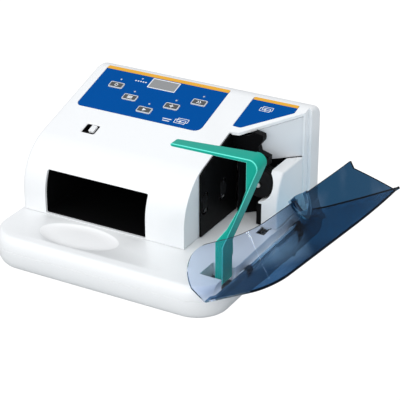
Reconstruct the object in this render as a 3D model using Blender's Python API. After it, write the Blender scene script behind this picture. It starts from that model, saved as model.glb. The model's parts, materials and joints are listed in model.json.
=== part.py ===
"""Compact banknote counting machine, modelled as an assembly of separate parts.

Lengths are in millimetres in the machine's own frame, and are turned into metres as each object is made:
x runs from the housing's left side to its right, y from the housing's front wall towards its back, and z up
from the top of the deck. The world's origin is at the bottom centre of the whole machine, cover open.
"""
import math

import bmesh
import bpy
from mathutils import Matrix, Vector

MM = 0.001
GAP = 0.3                      # between pieces that rest on each other

# Housing
WIDTH = 220.0
DEPTH = 149.0
WALL = 2.5
NOSE_RADIUS = 47.6             # bull-nose between the front wall and the sloping top
NOSE_HEIGHT = 18.0
SLOPE = math.atan(0.311)
CROWN_RADIUS = 12.0            # between the sloping top and the back wall
CROWN_START = 131.0
PANEL_Y = 52.4                 # a point on the sloping top, the origin of the panel's own axes
HOPPER_X = 165.0               # left side of the hopper
HOPPER_CUT = [(165.0, 80.5), (173.5, 81.5), (217.0, 121.7)]
GROOVE = (217.0, 129.0)        # rebate that the closed cover's back edge stands in

# Base
FRONT = -57.0
BULGE_SIDE = 3.0
BULGE_FRONT = 7.0
SPLIT_Z = -12.0
TRAY_BOTTOM = -31.5
GROUND = -35.0
CORNER_RADII = (30.0, 32.0, 9.0, 9.0)      # front left, front right, back right, back left

# Outlet pocket
POCKET_X = (24.5, 127.0)
POCKET_Z = (1.0, 41.0)
POCKET_BACK = 134.0

# Cover
HINGE = (221.0, -7.0)
COVER_OPEN = math.radians(63.0)
COVER_SKIN = 2.0
COVER_OUTER_X = 220.0
COVER_INNER_X = 172.0
COVER_BACK = 126.5
COVER_LOW_Z = -16.0            # lowest line of the front wall
COVER_SIDE_LOW = -4.0          # of the side wall, behind the front corner
COVER_NOSE = (-32.7, 36.3)     # centre (y, z) of the round between the front wall and the top
COVER_NOSE_RADIUS = 28.0
COVER_FRONT = COVER_NOSE[0] - COVER_NOSE_RADIUS
COVER_LEAN = math.radians(1.0)             # front wall, forwards
COVER_RISE = math.radians(11.6)            # straight stretch of the top
COVER_CROWN_RADIUS = 391.0                 # the top's last stretch, which ends level
COVER_TOP = 89.4
COVER_FLANGE_END = [(178.8, 75.4), (217.8, 118.9)]
DIMPLE_Y = 4.3
DIMPLE_RADIUS = 12.0
DIMPLE_REACH = 1.6             # how far the hollow reaches in from the free edge, in radii
KNUCKLE_RADIUS = 2.6
KNUCKLES = (7.0, 99.0)         # middles of the two hinges, along y

# Presser
PRESSER_PIVOT = (212.5, -5.0)
PRESSER_Y = (-26.0, -9.0)

# Control panel, in the panel's own axes: across, up the slope
LABEL_LOW = (11.5, 20.9)
LABEL_HIGH = (139.0, 81.8)
SIDE_LABEL_TOP = 80.1
KEYS = [(33.6, 57.0), (55.1, 44.6), (77.0, 32.6), (98.5, 44.6), (120.0, 57.0)]
KEY_SIZE = (14.6, 7.8)
LAMP_OFFSET = 9.2
STATUS_LAMP = (52.7, 72.7)
DISPLAY_LOW = (62.3, 62.8)
DISPLAY_HIGH = (91.0, 76.6)
SWITCH_LOW = (36.5, -11.0)
SWITCH_HIGH = (49.7, 1.0)

# Mechanism: axis positions (x, z) and radii
PICKUP = (156.5, 30.0)
PICKUP_RADIUS = 11.5
WHEEL_SLOTS = (27.0, 59.0)     # front edges of the pickup wheels' openings, along y
FEED = (196.0, 37.0)
FEED_RADIUS = 13.0
RETARD = (196.0, 56.2)
RETARD_RADIUS = 5.5
STACKER = (139.5, 12.0)
MOTOR = (149.0, 60.0)
MOTOR_RADIUS = 11.5
SHAFT_RADIUS = 2.5
BUSH_RADIUS = 4.5
PLATE_FRONT_Y = 17.0
PLATE_BACK_Y = 123.0
PLATE_SKIN = 1.5

cover_reach = HINGE[0] + math.hypot(COVER_OUTER_X - HINGE[0], COVER_TOP - HINGE[1]) * math.sin(
    COVER_OPEN + math.atan2(COVER_OUTER_X - HINGE[0], COVER_TOP - HINGE[1]))
ORIGIN = Vector(((cover_reach - BULGE_SIDE) / 2, (COVER_FRONT + DEPTH + BULGE_SIDE) / 2, GROUND))


# ---------------------------------------------------------------------------------------------- shapes

def arc(centre, radius, start, end, steps):
    """Points on an arc, angles in degrees, both ends included."""
    turns = [math.radians(start + (end - start) * i / steps) for i in range(steps + 1)]
    return [(centre[0] + radius * math.cos(t), centre[1] + radius * math.sin(t)) for t in turns]


def rounded(low, high, radius, steps=4):
    """Outline of a rectangle with round corners."""
    (x0, y0), (x1, y1) = low, high
    corners = [((x1 - radius, y1 - radius), 0), ((x0 + radius, y1 - radius), 90),
               ((x0 + radius, y0 + radius), 180), ((x1 - radius, y0 + radius), 270)]
    return [p for centre, turn in corners for p in arc(centre, radius, turn, turn + 90, steps)]


def place(axis, point, along):
    """A point of an outline in space, with the outline square to the axis."""
    u, v = point
    return {"x": (along, u, v), "y": (u, along, v), "z": (u, v, along)}[axis]


def loft(loops):
    """Closed body through loops that all have the same number of points."""
    bm = bmesh.new()
    rows = [[bm.verts.new(p) for p in loop] for loop in loops]
    count = len(rows[0])
    for low, high in zip(rows, rows[1:]):
        for i in range(count):
            bm.faces.new((low[i], low[(i + 1) % count], high[(i + 1) % count], high[i]))
    bm.faces.new(rows[0])
    bm.faces.new(rows[-1])
    bmesh.ops.recalc_face_normals(bm, faces=bm.faces)
    return bm


def prism(axis, outline, low, high):
    return loft([[place(axis, p, w) for p in outline] for w in (low, high)])


def box(low, high):
    return prism("z", [(low[0], low[1]), (high[0], low[1]), (high[0], high[1]), (low[0], high[1])],
                 low[2], high[2])


def circle(centre, radius, steps):
    return arc(centre, radius, 0, 360 * (steps - 1) / steps, steps - 1)


def rod(axis, centre, radius, low, high, steps=24):
    return prism(axis, circle(centre, radius, steps), low, high)


def turned(axis, centre, profile, steps=24):
    """Body turned about an axis from a closed profile of (radius, along) points that clears the axis."""
    bm = bmesh.new()
    rings = [[bm.verts.new(place(axis, p, along)) for p in circle(centre, radius, steps)]
             for radius, along in profile]
    for low, high in zip(rings, rings[1:] + rings[:1]):
        for i in range(steps):
            j = (i + 1) % steps
            bm.faces.new((low[i], low[j], high[j], high[i]))
    bmesh.ops.recalc_face_normals(bm, faces=bm.faces)
    return bm


def merged(*parts):
    """Several bodies in one mesh, for use as one cutter."""
    bm = bmesh.new()
    for part in parts:
        mesh = bpy.data.meshes.new("merge")
        part.to_mesh(mesh)
        bm.from_mesh(mesh)
        part.free()
        bpy.data.meshes.remove(mesh)
    return bm


def soften(bm, width, segments, choose=lambda edge: True):
    """Bevel the sharp edges that choose accepts."""
    edges = [e for e in bm.edges if len(e.link_faces) == 2 and e.calc_face_angle() > 0.6 and choose(e)]
    bmesh.ops.bevel(bm, geom=edges, offset=width, segments=segments, profile=0.5, affect="EDGES")
    return bm


# --------------------------------------------------------------------------------------------- objects

def material(name, colour, roughness, metallic=0.0, alpha=1.0):
    made = bpy.data.materials.new(name)
    made.use_nodes = True
    shader = made.node_tree.nodes["Principled BSDF"]
    shader.inputs["Base Color"].default_value = (*colour, 1.0)
    shader.inputs["Roughness"].default_value = roughness
    shader.inputs["Metallic"].default_value = metallic
    shader.inputs["Alpha"].default_value = alpha
    return made


def add(name, bm, finish, joint=None):
    """Object from a mesh in machine millimetres, with its origin on its joint's empty if it moves."""
    pivot = Vector(joint["pivot"]) if joint else ORIGIN
    bmesh.ops.translate(bm, verts=bm.verts, vec=-pivot)
    bmesh.ops.scale(bm, verts=bm.verts, vec=(MM, MM, MM))
    mesh = bpy.data.meshes.new(name)
    bm.to_mesh(mesh)
    bm.free()
    mesh.shade_smooth()
    mesh.set_sharp_from_angle(angle=math.radians(32))
    made = bpy.data.objects.new(name, mesh)
    bpy.context.collection.objects.link(made)
    if finish:
        mesh.materials.append(finish)
    if joint:
        made.parent = joint
    return made


def joint_empty(name, pivot, turn=0.0):
    """Empty on a joint's axis; the pieces of the moving body are its children, and turn about y with it."""
    empty = bpy.data.objects.new(name, None)
    empty["pivot"] = tuple(pivot)
    empty.location = (Vector(pivot) - ORIGIN) * MM
    empty.rotation_euler = (0.0, turn, 0.0)
    empty.empty_display_size = 0.01
    bpy.context.collection.objects.link(empty)
    return empty


def boolean(target, bm, operation):
    """Cut a body out of the target, or join one to it."""
    number = len(target.modifiers)
    tool = add(f"{target.name}_tool_{number}", bm, None, target.parent)
    tool.hide_render = True
    tool.display_type = "WIRE"
    modifier = target.modifiers.new(f"{operation.lower()}_{number}", "BOOLEAN")
    modifier.operation = operation
    modifier.object = tool
    modifier.solver = "EXACT"


def cut(target, *parts):
    boolean(target, merged(*parts), "DIFFERENCE")


def join(target, *parts):
    for part in parts:
        boolean(target, part, "UNION")


def hollow_out(target, core_body, *keep):
    """Cut a core out of the target, except where the keep bodies leave material."""
    core = add(f"{target.name}_core", core_body, None)
    core.hide_render = True
    core.display_type = "WIRE"
    cut(core, *keep)
    modifier = target.modifiers.new("hollow", "BOOLEAN")
    modifier.operation = "DIFFERENCE"
    modifier.object = core
    modifier.solver = "EXACT"


# -------------------------------------------------------------------------------------------- profiles

def slope_z(y):
    """Height of the housing's sloping top."""
    foot_y = NOSE_RADIUS * (1 - math.sin(SLOPE))
    foot_z = NOSE_HEIGHT + NOSE_RADIUS * math.cos(SLOPE)
    return foot_z + (y - foot_y) * math.tan(SLOPE)


def housing_profile(inset):
    """Side outline (y, z) of the housing, moved inwards by inset."""
    slope_deg = math.degrees(SLOPE)
    nose = arc((NOSE_RADIUS, NOSE_HEIGHT), NOSE_RADIUS - inset, 180, 90 + slope_deg, 12)
    crown_z = slope_z(CROWN_START) - CROWN_RADIUS / math.cos(SLOPE)
    crown_centre = (CROWN_START + 0.5, crown_z)
    reach = DEPTH - crown_centre[0] - inset
    crown = [(crown_centre[0] + reach * math.cos(t), crown_centre[1] + (CROWN_RADIUS - inset) * math.sin(t))
             for t in (math.radians(90 + slope_deg - (90 + slope_deg) * i / 6) for i in range(7))]
    return [(DEPTH - inset, GAP), (inset, GAP)] + nose + crown


PANEL_MATRIX = Matrix.Translation((0, PANEL_Y, slope_z(PANEL_Y))) @ Matrix.Rotation(SLOPE, 4, "X")


def on_panel(bm):
    """Move a body from the panel's own axes (across, up the slope, outwards) to the machine's."""
    bmesh.ops.transform(bm, matrix=PANEL_MATRIX, verts=bm.verts)
    return bm


def plan(inset_front, inset_side):
    """Plan outline of the base, moved inwards from its widest line."""
    x0, x1 = -BULGE_SIDE + inset_side, WIDTH + BULGE_SIDE - inset_side
    y0, y1 = FRONT + inset_front, DEPTH + BULGE_SIDE - inset_side
    radii = [max(r - inset_side, 2.0) for r in CORNER_RADII]
    corners = [((x0 + radii[0], y0 + radii[0]), radii[0], 180),
               ((x1 - radii[1], y0 + radii[1]), radii[1], 270),
               ((x1 - radii[2], y1 - radii[2]), radii[2], 0), ((x0 + radii[3], y1 - radii[3]), radii[3], 90)]
    return [p for centre, radius, turn in corners for p in arc(centre, radius, turn, turn + 90, 6)]


def base_loops(levels):
    """Loops of the base's outline at (height, inset at the front, inset at the sides)."""
    return [[(x, y, z) for x, y in plan(front, side)] for z, front, side in levels]


# ---------------------------------------------------------------------------------------- fixed pieces

def make_base(white, rubber):
    steps = 4
    swell = [math.radians(90 * i / steps) for i in range(steps + 1)]
    levels = [(SPLIT_Z * (1 - math.sin(t)), BULGE_FRONT * (1 - math.cos(t)), BULGE_SIDE * (1 - math.cos(t)))
              for t in swell]
    deck = add("base_deck", loft(base_loops(levels)), white)
    hollow = [(z - WALL, front + WALL, side + WALL) for z, front, side in levels]
    dish = [[(74.2 + 38.5 * s * math.cos(t), -22.8 + 19.6 * s * math.sin(t), z)
             for t in (math.radians(12 * i) for i in range(30))]
            for s, z in ((0.72, -2.0), (0.88, -1.5), (1.0, 0.0), (1.06, 0.8))]
    hinge_strip = box((WIDTH - 5.6, -70.0, -30.0), (WIDTH + 20, DEPTH + 20, 10.0))
    hollow_out(deck, loft(base_loops(hollow)), hinge_strip)
    join(deck, box((36.0, -42.0, -4.6), (112.0, -3.0, -1.2)))
    cut(deck, loft(dish))
    opening = box((131.5, 12.0, -6.0), (162.0, 138.0, 2.0))
    feeler = box((203.0, 58.0, -6.0), (211.5, 77.5, 2.0))
    presser_slot = box((196.5, PRESSER_Y[0] - 3, -14.0), (216.9, PRESSER_Y[1] + 3, 2.0))
    cut(deck, opening, feeler, presser_slot)
    cut(deck, box((WIDTH - 3.1, -62.0, -11.0), (WIDTH + 8, COVER_BACK + 1, 4.0)))
    lugs = []
    for middle in KNUCKLES:
        for low, high in ((middle - 11, middle - 5), (middle + 5, middle + 11)):
            outline = [(HINGE[0] - KNUCKLE_RADIUS, SPLIT_Z), (HINGE[0] + 1.5, SPLIT_Z)]
            outline += arc(HINGE, KNUCKLE_RADIUS, 0, 180, 8)
            lugs.append(prism("y", outline, low, high))
    join(deck, *lugs)
    cut(deck, *(rod("y", HINGE, 1.5, middle - 12, middle + 12, 12) for middle in KNUCKLES))
    for low, high in ((PRESSER_Y[0] - 6.4, PRESSER_Y[0] - 3.2), (PRESSER_Y[1] + 3.2, PRESSER_Y[1] + 6.4)):
        join(deck, box((PRESSER_PIVOT[0] - 4, low, PRESSER_PIVOT[1] - 3.6), (WIDTH - 4.6, high, -1.2)))
    cut(deck, rod("y", PRESSER_PIVOT, 1.9, PRESSER_Y[0] - 9, PRESSER_Y[1] + 9, 12))

    tray_levels = [(TRAY_BOTTOM, 9.0, 6.0), (TRAY_BOTTOM + 1.5, 5.5, 3.2), (TRAY_BOTTOM + 5, 3.5, 1.6),
                   (SPLIT_Z - GAP, 0.0, 0.0)]
    tray = add("base_tray", loft(base_loops(tray_levels)), white)
    tub = [(TRAY_BOTTOM + WALL, 8.0, 6.0), (TRAY_BOTTOM + 6, 5.5, 4.0), (SPLIT_Z + 1, WALL, WALL)]
    cut(tray, loft(base_loops(tub)))

    for side, x in (("left", 22.0), ("right", 198.0)):
        for end, y in (("front", -28.0), ("back", 128.0)):
            profile = [(1.5, GROUND), (6.5, GROUND), (7.5, GROUND + 1), (7.5, TRAY_BOTTOM - GAP),
                       (1.5, TRAY_BOTTOM - GAP)]
            add(f"foot_{end}_{side}", turned("z", (x, y), profile, 20), rubber)


def key_holes(extra, low, high):
    """Bodies that fill the panel's key holes, larger by extra all round."""
    half = [s / 2 + extra for s in KEY_SIZE]
    return [on_panel(box((u - half[0], v - half[1], low), (u + half[0], v + half[1], high))) for u, v in KEYS]


def lamp_places():
    return [(u, v + LAMP_OFFSET) for u, v in KEYS] + [STATUS_LAMP]


def panel_openings(extra, low, high):
    """Bodies that fill the openings shared by the housing and the control label."""
    display = on_panel(box((DISPLAY_LOW[0] - extra, DISPLAY_LOW[1] - extra, low),
                           (DISPLAY_HIGH[0] + extra, DISPLAY_HIGH[1] + extra, high)))
    lamps = [on_panel(rod("z", place_uv, 1.0 + extra, low, high, 8)) for place_uv in lamp_places()]
    return key_holes(extra, low, high) + [display] + lamps


def label_outline(extra):
    (x0, y0), (x1, y1) = LABEL_LOW, LABEL_HIGH
    x0, y0, x1, y1 = x0 - extra, y0 - extra, x1 + extra, y1 + extra
    front = arc((x0 + 8, y0 + 6), 7, 190, 262, 4) + arc((x1 - 8, y0 + 8), 7.8, 280, 350, 4)
    return [(x1, y1), (x0, y1)] + front


def side_label_outline(extra):
    top = SIDE_LABEL_TOP + extra
    return [(164.0 - extra, top), (163.6 - extra, 39.6), (165.2 - extra, 37.2 - extra), (171.4, 37.2 - extra),
            (205.4 + extra, 67.6 - extra), (207.8 + extra, 71.5), (208.0 + extra, top)]


def make_housing(white):
    body = prism("x", housing_profile(0.0), 0.0, WIDTH)
    soften(body, 4.0, 3, lambda e: all(abs(v.co.x - e.verts[0].co.x) < 0.01 for v in e.verts)
           and e.verts[0].co.z + e.verts[1].co.z > 1.0)
    housing = add("upper_housing", body, white)
    hollow = prism("x", housing_profile(WALL), WALL, WIDTH - WALL)
    bmesh.ops.translate(hollow, verts=hollow.verts, vec=(0, 0, -1.0))
    for vert in hollow.verts:
        if vert.co.z > 1.0:
            vert.co.z += 1.0
    left_wall = box((HOPPER_X - WALL, -20.0, -20.0), (WIDTH + 10, HOPPER_CUT[0][1] - 0.1, 140.0))
    corner_post = box((HOPPER_CUT[2][0] - 1.3, HOPPER_CUT[2][1] - 3, -20.0),
                      (WIDTH + 10, GROOVE[1] + WALL, 140.0))
    hollow_out(housing, hollow, left_wall, corner_post)
    hopper = [(WIDTH + 20, -20.0), (WIDTH + 20, GROOVE[1]), GROOVE] + HOPPER_CUT[::-1] + [(HOPPER_X, -20.0)]
    cut(housing, prism("z", hopper, -5.0, 140.0))
    cut(housing, prism("y", rounded((POCKET_X[0], POCKET_Z[0]), (POCKET_X[1], POCKET_Z[1]), 1.5), -3.0, 12.0))
    slots = [box((HOPPER_X - 4, y, 16.0), (HOPPER_X + 2, y + 12, 44.0)) for y in WHEEL_SLOTS]
    inlet = box((4.0, DEPTH - 4, 8.0), (20.6, DEPTH + 2, 21.0))
    vents = [box((44.0 + 9 * i, DEPTH - 4, 30.0), (47.4 + 9 * i, DEPTH + 2, 52.0)) for i in range(10)]
    cut(housing, *slots, inlet, *vents)
    cut(housing, on_panel(prism("z", label_outline(GAP), -0.6, 1.0)),
        on_panel(prism("z", side_label_outline(GAP), -0.6, 1.0)))
    cut(housing, *panel_openings(0.4, -4.0, 3.0))
    cut(housing, on_panel(box((SWITCH_LOW[0], SWITCH_LOW[1], -6.0), (SWITCH_HIGH[0], SWITCH_HIGH[1], 3.0))))
    return housing


def make_labels(blue):
    label = add("control_label", on_panel(prism("z", label_outline(0.0), -0.3, 0.15)), blue)
    cut(label, *panel_openings(0.4, -2.0, 2.0))
    add("side_label", on_panel(prism("z", side_label_outline(0.0), -0.3, 0.15)), blue)


def make_display(lens, clear, green_board):
    window = box((*DISPLAY_LOW, -1.2), (*DISPLAY_HIGH, 0.45))
    add("display_window", on_panel(soften(window, 0.3, 1)), lens)

    board = add("control_board", on_panel(box((15.0, 24.0, -8.6), (135.0, 78.0, -7.0))), green_board)
    join(board, *(on_panel(box((u - 3, v - 3, -7.2), (u + 3, v + 3, -4.2))) for u, v in KEYS))
    join(board, on_panel(box((DISPLAY_LOW[0] + 1, DISPLAY_LOW[1] + 1, -7.2),
                             (DISPLAY_HIGH[0] - 1, DISPLAY_HIGH[1] - 1, -1.5))))

    places = lamp_places()
    posts = [on_panel(rod("z", uv, 1.0, -6.5, 0.35, 8)) for uv in places]
    lights = add("indicator_lights", posts.pop(0), clear)
    links = [(0, 1), (1, 2), (2, 3), (3, 4), (1, 5)]
    for number, (first, second) in enumerate(links):
        (u0, v0), (u1, v1) = places[first], places[second]
        length = math.hypot(u1 - u0, v1 - v0)
        step = 0.07 * number
        runner = box((-0.2, -0.8, -6.4 + step), (length + 0.2, 0.8, -5.7 + step))
        turn = Matrix.Translation((u0, v0, 0)) @ Matrix.Rotation(math.atan2(v1 - v0, u1 - u0), 4, "Z")
        bmesh.ops.transform(runner, matrix=turn, verts=runner.verts)
        join(lights, on_panel(runner))
    join(lights, *posts)


def make_switch_bezel(black):
    inset = 0.3
    bezel = add("switch_bezel", on_panel(box((SWITCH_LOW[0] + inset, SWITCH_LOW[1] + inset, -5.0),
                                             (SWITCH_HIGH[0] - inset, SWITCH_HIGH[1] - inset, -0.8))), black)
    cut(bezel, on_panel(box((SWITCH_LOW[0] + 1.2, SWITCH_LOW[1] + 1.6, -4.0),
                            (SWITCH_HIGH[0] - 1.2, SWITCH_HIGH[1] - 1.6, 1.0))))


def make_pocket(black):
    skin = 1.5
    outer = rounded((POCKET_X[0] - skin, GAP), (POCKET_X[1] + skin + 1, POCKET_Z[1] + skin), 2.0, 2)
    inner = rounded((POCKET_X[0], POCKET_Z[0] + 0.8), (POCKET_X[1] + 1, POCKET_Z[1]), 1.2, 2)
    liner = add("outlet_pocket", prism("y", outer, WALL + GAP, POCKET_BACK + skin), black)
    cut(liner, prism("y", inner, 0.0, POCKET_BACK))
    front = arc((NOSE_RADIUS, NOSE_HEIGHT), NOSE_RADIUS - WALL - GAP, 180, 110, 8)
    front = [(-9.0, -5.0), (WALL + GAP - 0.01, -5.0)] + front + [(front[-1][0], 80.0), (-9.0, 80.0)]
    cut(liner, prism("x", front, POCKET_X[0] - 5, POCKET_X[1] + 8))
    cut(liner, *(box((POCKET_X[1] - 2, y - 5, 3.0), (POCKET_X[1] + 6, y + 5, 27.0)) for y in (38.0, 98.0)))


def make_hopper(white, grey, black):
    """Diagonal wall, ledge, feed plate, separator bracket and the floor's note sensor."""
    direction = (Vector(HOPPER_CUT[2]) - Vector(HOPPER_CUT[1])).normalized()
    normal = Vector((-direction.y, direction.x))
    start = Vector(HOPPER_CUT[1]) + normal * 0.6
    end = Vector(HOPPER_CUT[2]) + normal * 0.6 - direction * 2.5
    outline = [start, end, end + normal * 2, start + normal * 2]
    wall = add("hopper_wall", prism("z", [tuple(p) for p in outline], 50.6, 93.0), grey)
    lid_profile = [(40.0, slope_z(40.0) - 3.3), (150.0, slope_z(150.0) - 3.3), (150.0, 140.0), (40.0, 140.0)]
    lid = prism("x", lid_profile,
                160.0, 225.0)
    cut(wall, lid)
    cut(wall, box((150.0, 60.0, 40.0), (184.5, 100.0, 100.0)))

    ledge_x, ledge_y, ledge_z = (198.5, 216.6), (70.8, 121.5), 50.0
    side = [(ledge_y[1], GAP), (ledge_y[0], GAP)]
    side += arc((ledge_y[0] + 48.7, ledge_z - 32), 48.7, 180, 138.9, 6) + [(ledge_y[1], ledge_z)]
    ledge = add("hopper_ledge", soften(prism("x", side, *ledge_x), 2.0, 2,
                                       lambda e: e.verts[0].co.x > 210 and e.verts[1].co.x > 210), white)
    cut(ledge, rod("y", FEED, FEED_RADIUS + 1.2, 60.0, 130.0, 32))
    far_end = end + direction * 3.5
    behind = [(150.0, 60.0), (start.x, start.y - 1.5), (far_end.x, far_end.y - 1.5), (230.0, 122.0),
              (230.0, 140.0), (150.0, 140.0)]
    cut(ledge, prism("z", behind, -5.0, 60.0))
    cut(ledge, box((190.0, 76.0, 3.0), (213.5, 106.0, 20.0)))
    cut(ledge, box((190.0, 60.0, 45.0), (205.6, 130.0, 60.0)), box((190.0, 60.0, -1.0), (201.6, 130.0, 21.5)))

    chute_low, chute_high = start - direction * 0.2, end
    chute_line = [chute_low, chute_high, chute_high + normal * 2, chute_low + normal * 2]
    chute = add("feed_chute", prism("z", [tuple(p) for p in chute_line], 0.6, 50.0), black)
    cut(chute, rod("y", FEED, 4.5, 60.0, 140.0, 12), box((206.0, 100.0, -1.0), (225.0, 130.0, 60.0)))
    add("feed_plate", box((196.2, 72.0, 0.6), (201.2, 95.0, 21.2)), black)

    jaw = [(166.0, 64.0), (181.0, 62.0), (186.5, 56.0), (190.0, 52.2), (201.0, 52.2), (201.0, 60.5),
           (192.0, 63.0), (190.8, 68.0), (195.0, 73.5), (195.5, 76.0), (195.0, 79.4), (186.5, 80.8),
           (184.0, 78.0), (181.0, 76.6), (166.0, 73.8)]
    bracket = add("separator_bracket", soften(prism("y", jaw, 84.0, 91.2), 0.8, 2), black)
    cut(bracket, rod("y", RETARD, 1.6, 70.0, 100.0, 12))
    panel = [(26.0, 0.6), (90.6, 0.6), (90.6, slope_z(90.6) - 3.4), (80.2, slope_z(80.2) - 3.4),
             (80.2, slope_z(80.2) - 1.0), (33.6, slope_z(33.6) - 1.0), (26.0, slope_z(26.0) - 2.2)]
    join(bracket, prism("x", panel, HOPPER_X + GAP, HOPPER_X + 2))
    cut(bracket, *(box((HOPPER_X - 2, y + 0.8, 20.5), (HOPPER_X + 4, y + 11.2, 39.5)) for y in WHEEL_SLOTS))
    add("note_sensor", soften(box((203.4, 58.4, -4.5), (211.1, 77.1, -0.6)), 0.5, 1), black)


def make_mechanism(steel, black, brass, copper_board, glass, motor_grey):
    """Plates, bushes, boards, sensors, lamp and motor."""
    front_outline = [(132.5, -10.0), (161.6, -10.0), (161.6, 46.0), (132.5, 46.0)]
    front = add("front_plate", prism("y", front_outline, PLATE_FRONT_Y, PLATE_FRONT_Y + PLATE_SKIN), steel)
    back_outline = [(132.5, -10.0), (161.6, -10.0), (161.6, 22.0), (208.0, 22.0), (208.0, 66.0),
                    (161.6, 80.0), (132.5, 80.0)]
    back = add("back_plate", prism("y", back_outline, PLATE_BACK_Y, PLATE_BACK_Y + PLATE_SKIN), steel)
    sides = {"front": (PLATE_FRONT_Y, front), "back": (PLATE_BACK_Y, back)}
    shafts = {"pickup": PICKUP, "stacker": STACKER, "feed": FEED}
    for shaft, axis in shafts.items():
        for side, (y, plate) in sides.items():
            if shaft == "feed" and side == "front":
                continue
            cut(plate, rod("y", axis, BUSH_RADIUS, y - 3, y + 5, 16))
            flange = [(SHAFT_RADIUS + 0.3, y - 1.5), (BUSH_RADIUS + 0.9, y - 1.5),
                      (BUSH_RADIUS + 0.9, y - GAP), (BUSH_RADIUS - GAP, y - GAP),
                      (BUSH_RADIUS - GAP, y + PLATE_SKIN + 1), (SHAFT_RADIUS + 0.3, y + PLATE_SKIN + 1)]
            add(f"{shaft}_bush_{side}", turned("y", axis, flange, 16), brass)
    cut(back, rod("y", MOTOR, 4.0, PLATE_BACK_Y - 3, PLATE_BACK_Y + 5, 16))

    motor = [(3.2, 70.0), (MOTOR_RADIUS - 1, 70.0), (MOTOR_RADIUS, 71.0), (MOTOR_RADIUS, 114.0),
             (MOTOR_RADIUS - 1, 115.0), (3.2, 115.0)]
    can = add("motor", turned("y", MOTOR, motor, 24), motor_grey)
    ears = box((MOTOR[0] - 13, 113.0, MOTOR[1] - 4), (MOTOR[0] + 11.5, PLATE_BACK_Y - GAP, MOTOR[1] + 4))
    join(can, ears)
    cut(can, rod("y", MOTOR, 3.2, 60.0, 130.0, 16))

    board = add("main_board", box((14.0, -30.0, -24.0), (118.0, 70.0, -22.4)), copper_board)
    chips = [((24.0, 0.0), (44.0, 20.0), 3.0), ((60.0, -18.0), (74.0, -4.0), 2.5),
             ((84.0, 20.0), (96.0, 50.0), 8.0)]
    join(board, *(box((*low, -22.8), (*high, -22.4 + tall)) for low, high, tall in chips))
    add("uv_lamp", rod("y", (150.0, -16.0), 3.5, 28.0, 112.0, 16), glass)
    add("magnetic_head", soften(box((135.0, 56.0, -18.0), (142.0, 84.0, -9.0)), 1.0, 1), steel)

    jack = add("power_inlet", box((4.6, 128.0, 8.6), (20.0, DEPTH - 0.5, 20.4)), black)
    cut(jack, rod("y", (12.3, 14.5), 3.6, 132.0, DEPTH + 2, 20))


# --------------------------------------------------------------------------------------- moving pieces

def cover_top(y):
    """Height of the closed cover's top, on its straight stretch."""
    start_y = COVER_NOSE[0] - COVER_NOSE_RADIUS * math.sin(COVER_RISE)
    start_z = COVER_NOSE[1] + COVER_NOSE_RADIUS * math.cos(COVER_RISE)
    return start_z + (y - start_y) * math.tan(COVER_RISE)


def cover_profile(inset):
    """Side outline (y, z) of the closed cover."""
    lean, rise = math.degrees(COVER_LEAN), math.degrees(COVER_RISE)
    nose = arc(COVER_NOSE, COVER_NOSE_RADIUS - inset, 180 + lean, 90 + rise, 8)
    crown = arc((COVER_BACK, COVER_TOP - COVER_CROWN_RADIUS), COVER_CROWN_RADIUS - inset, 90 + rise, 90, 4)
    foot_y = nose[0][0] + (nose[0][1] - COVER_LOW_Z) * math.tan(COVER_LEAN)
    return [(COVER_BACK, COVER_LOW_Z), (foot_y, COVER_LOW_Z)] + nose + crown


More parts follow.
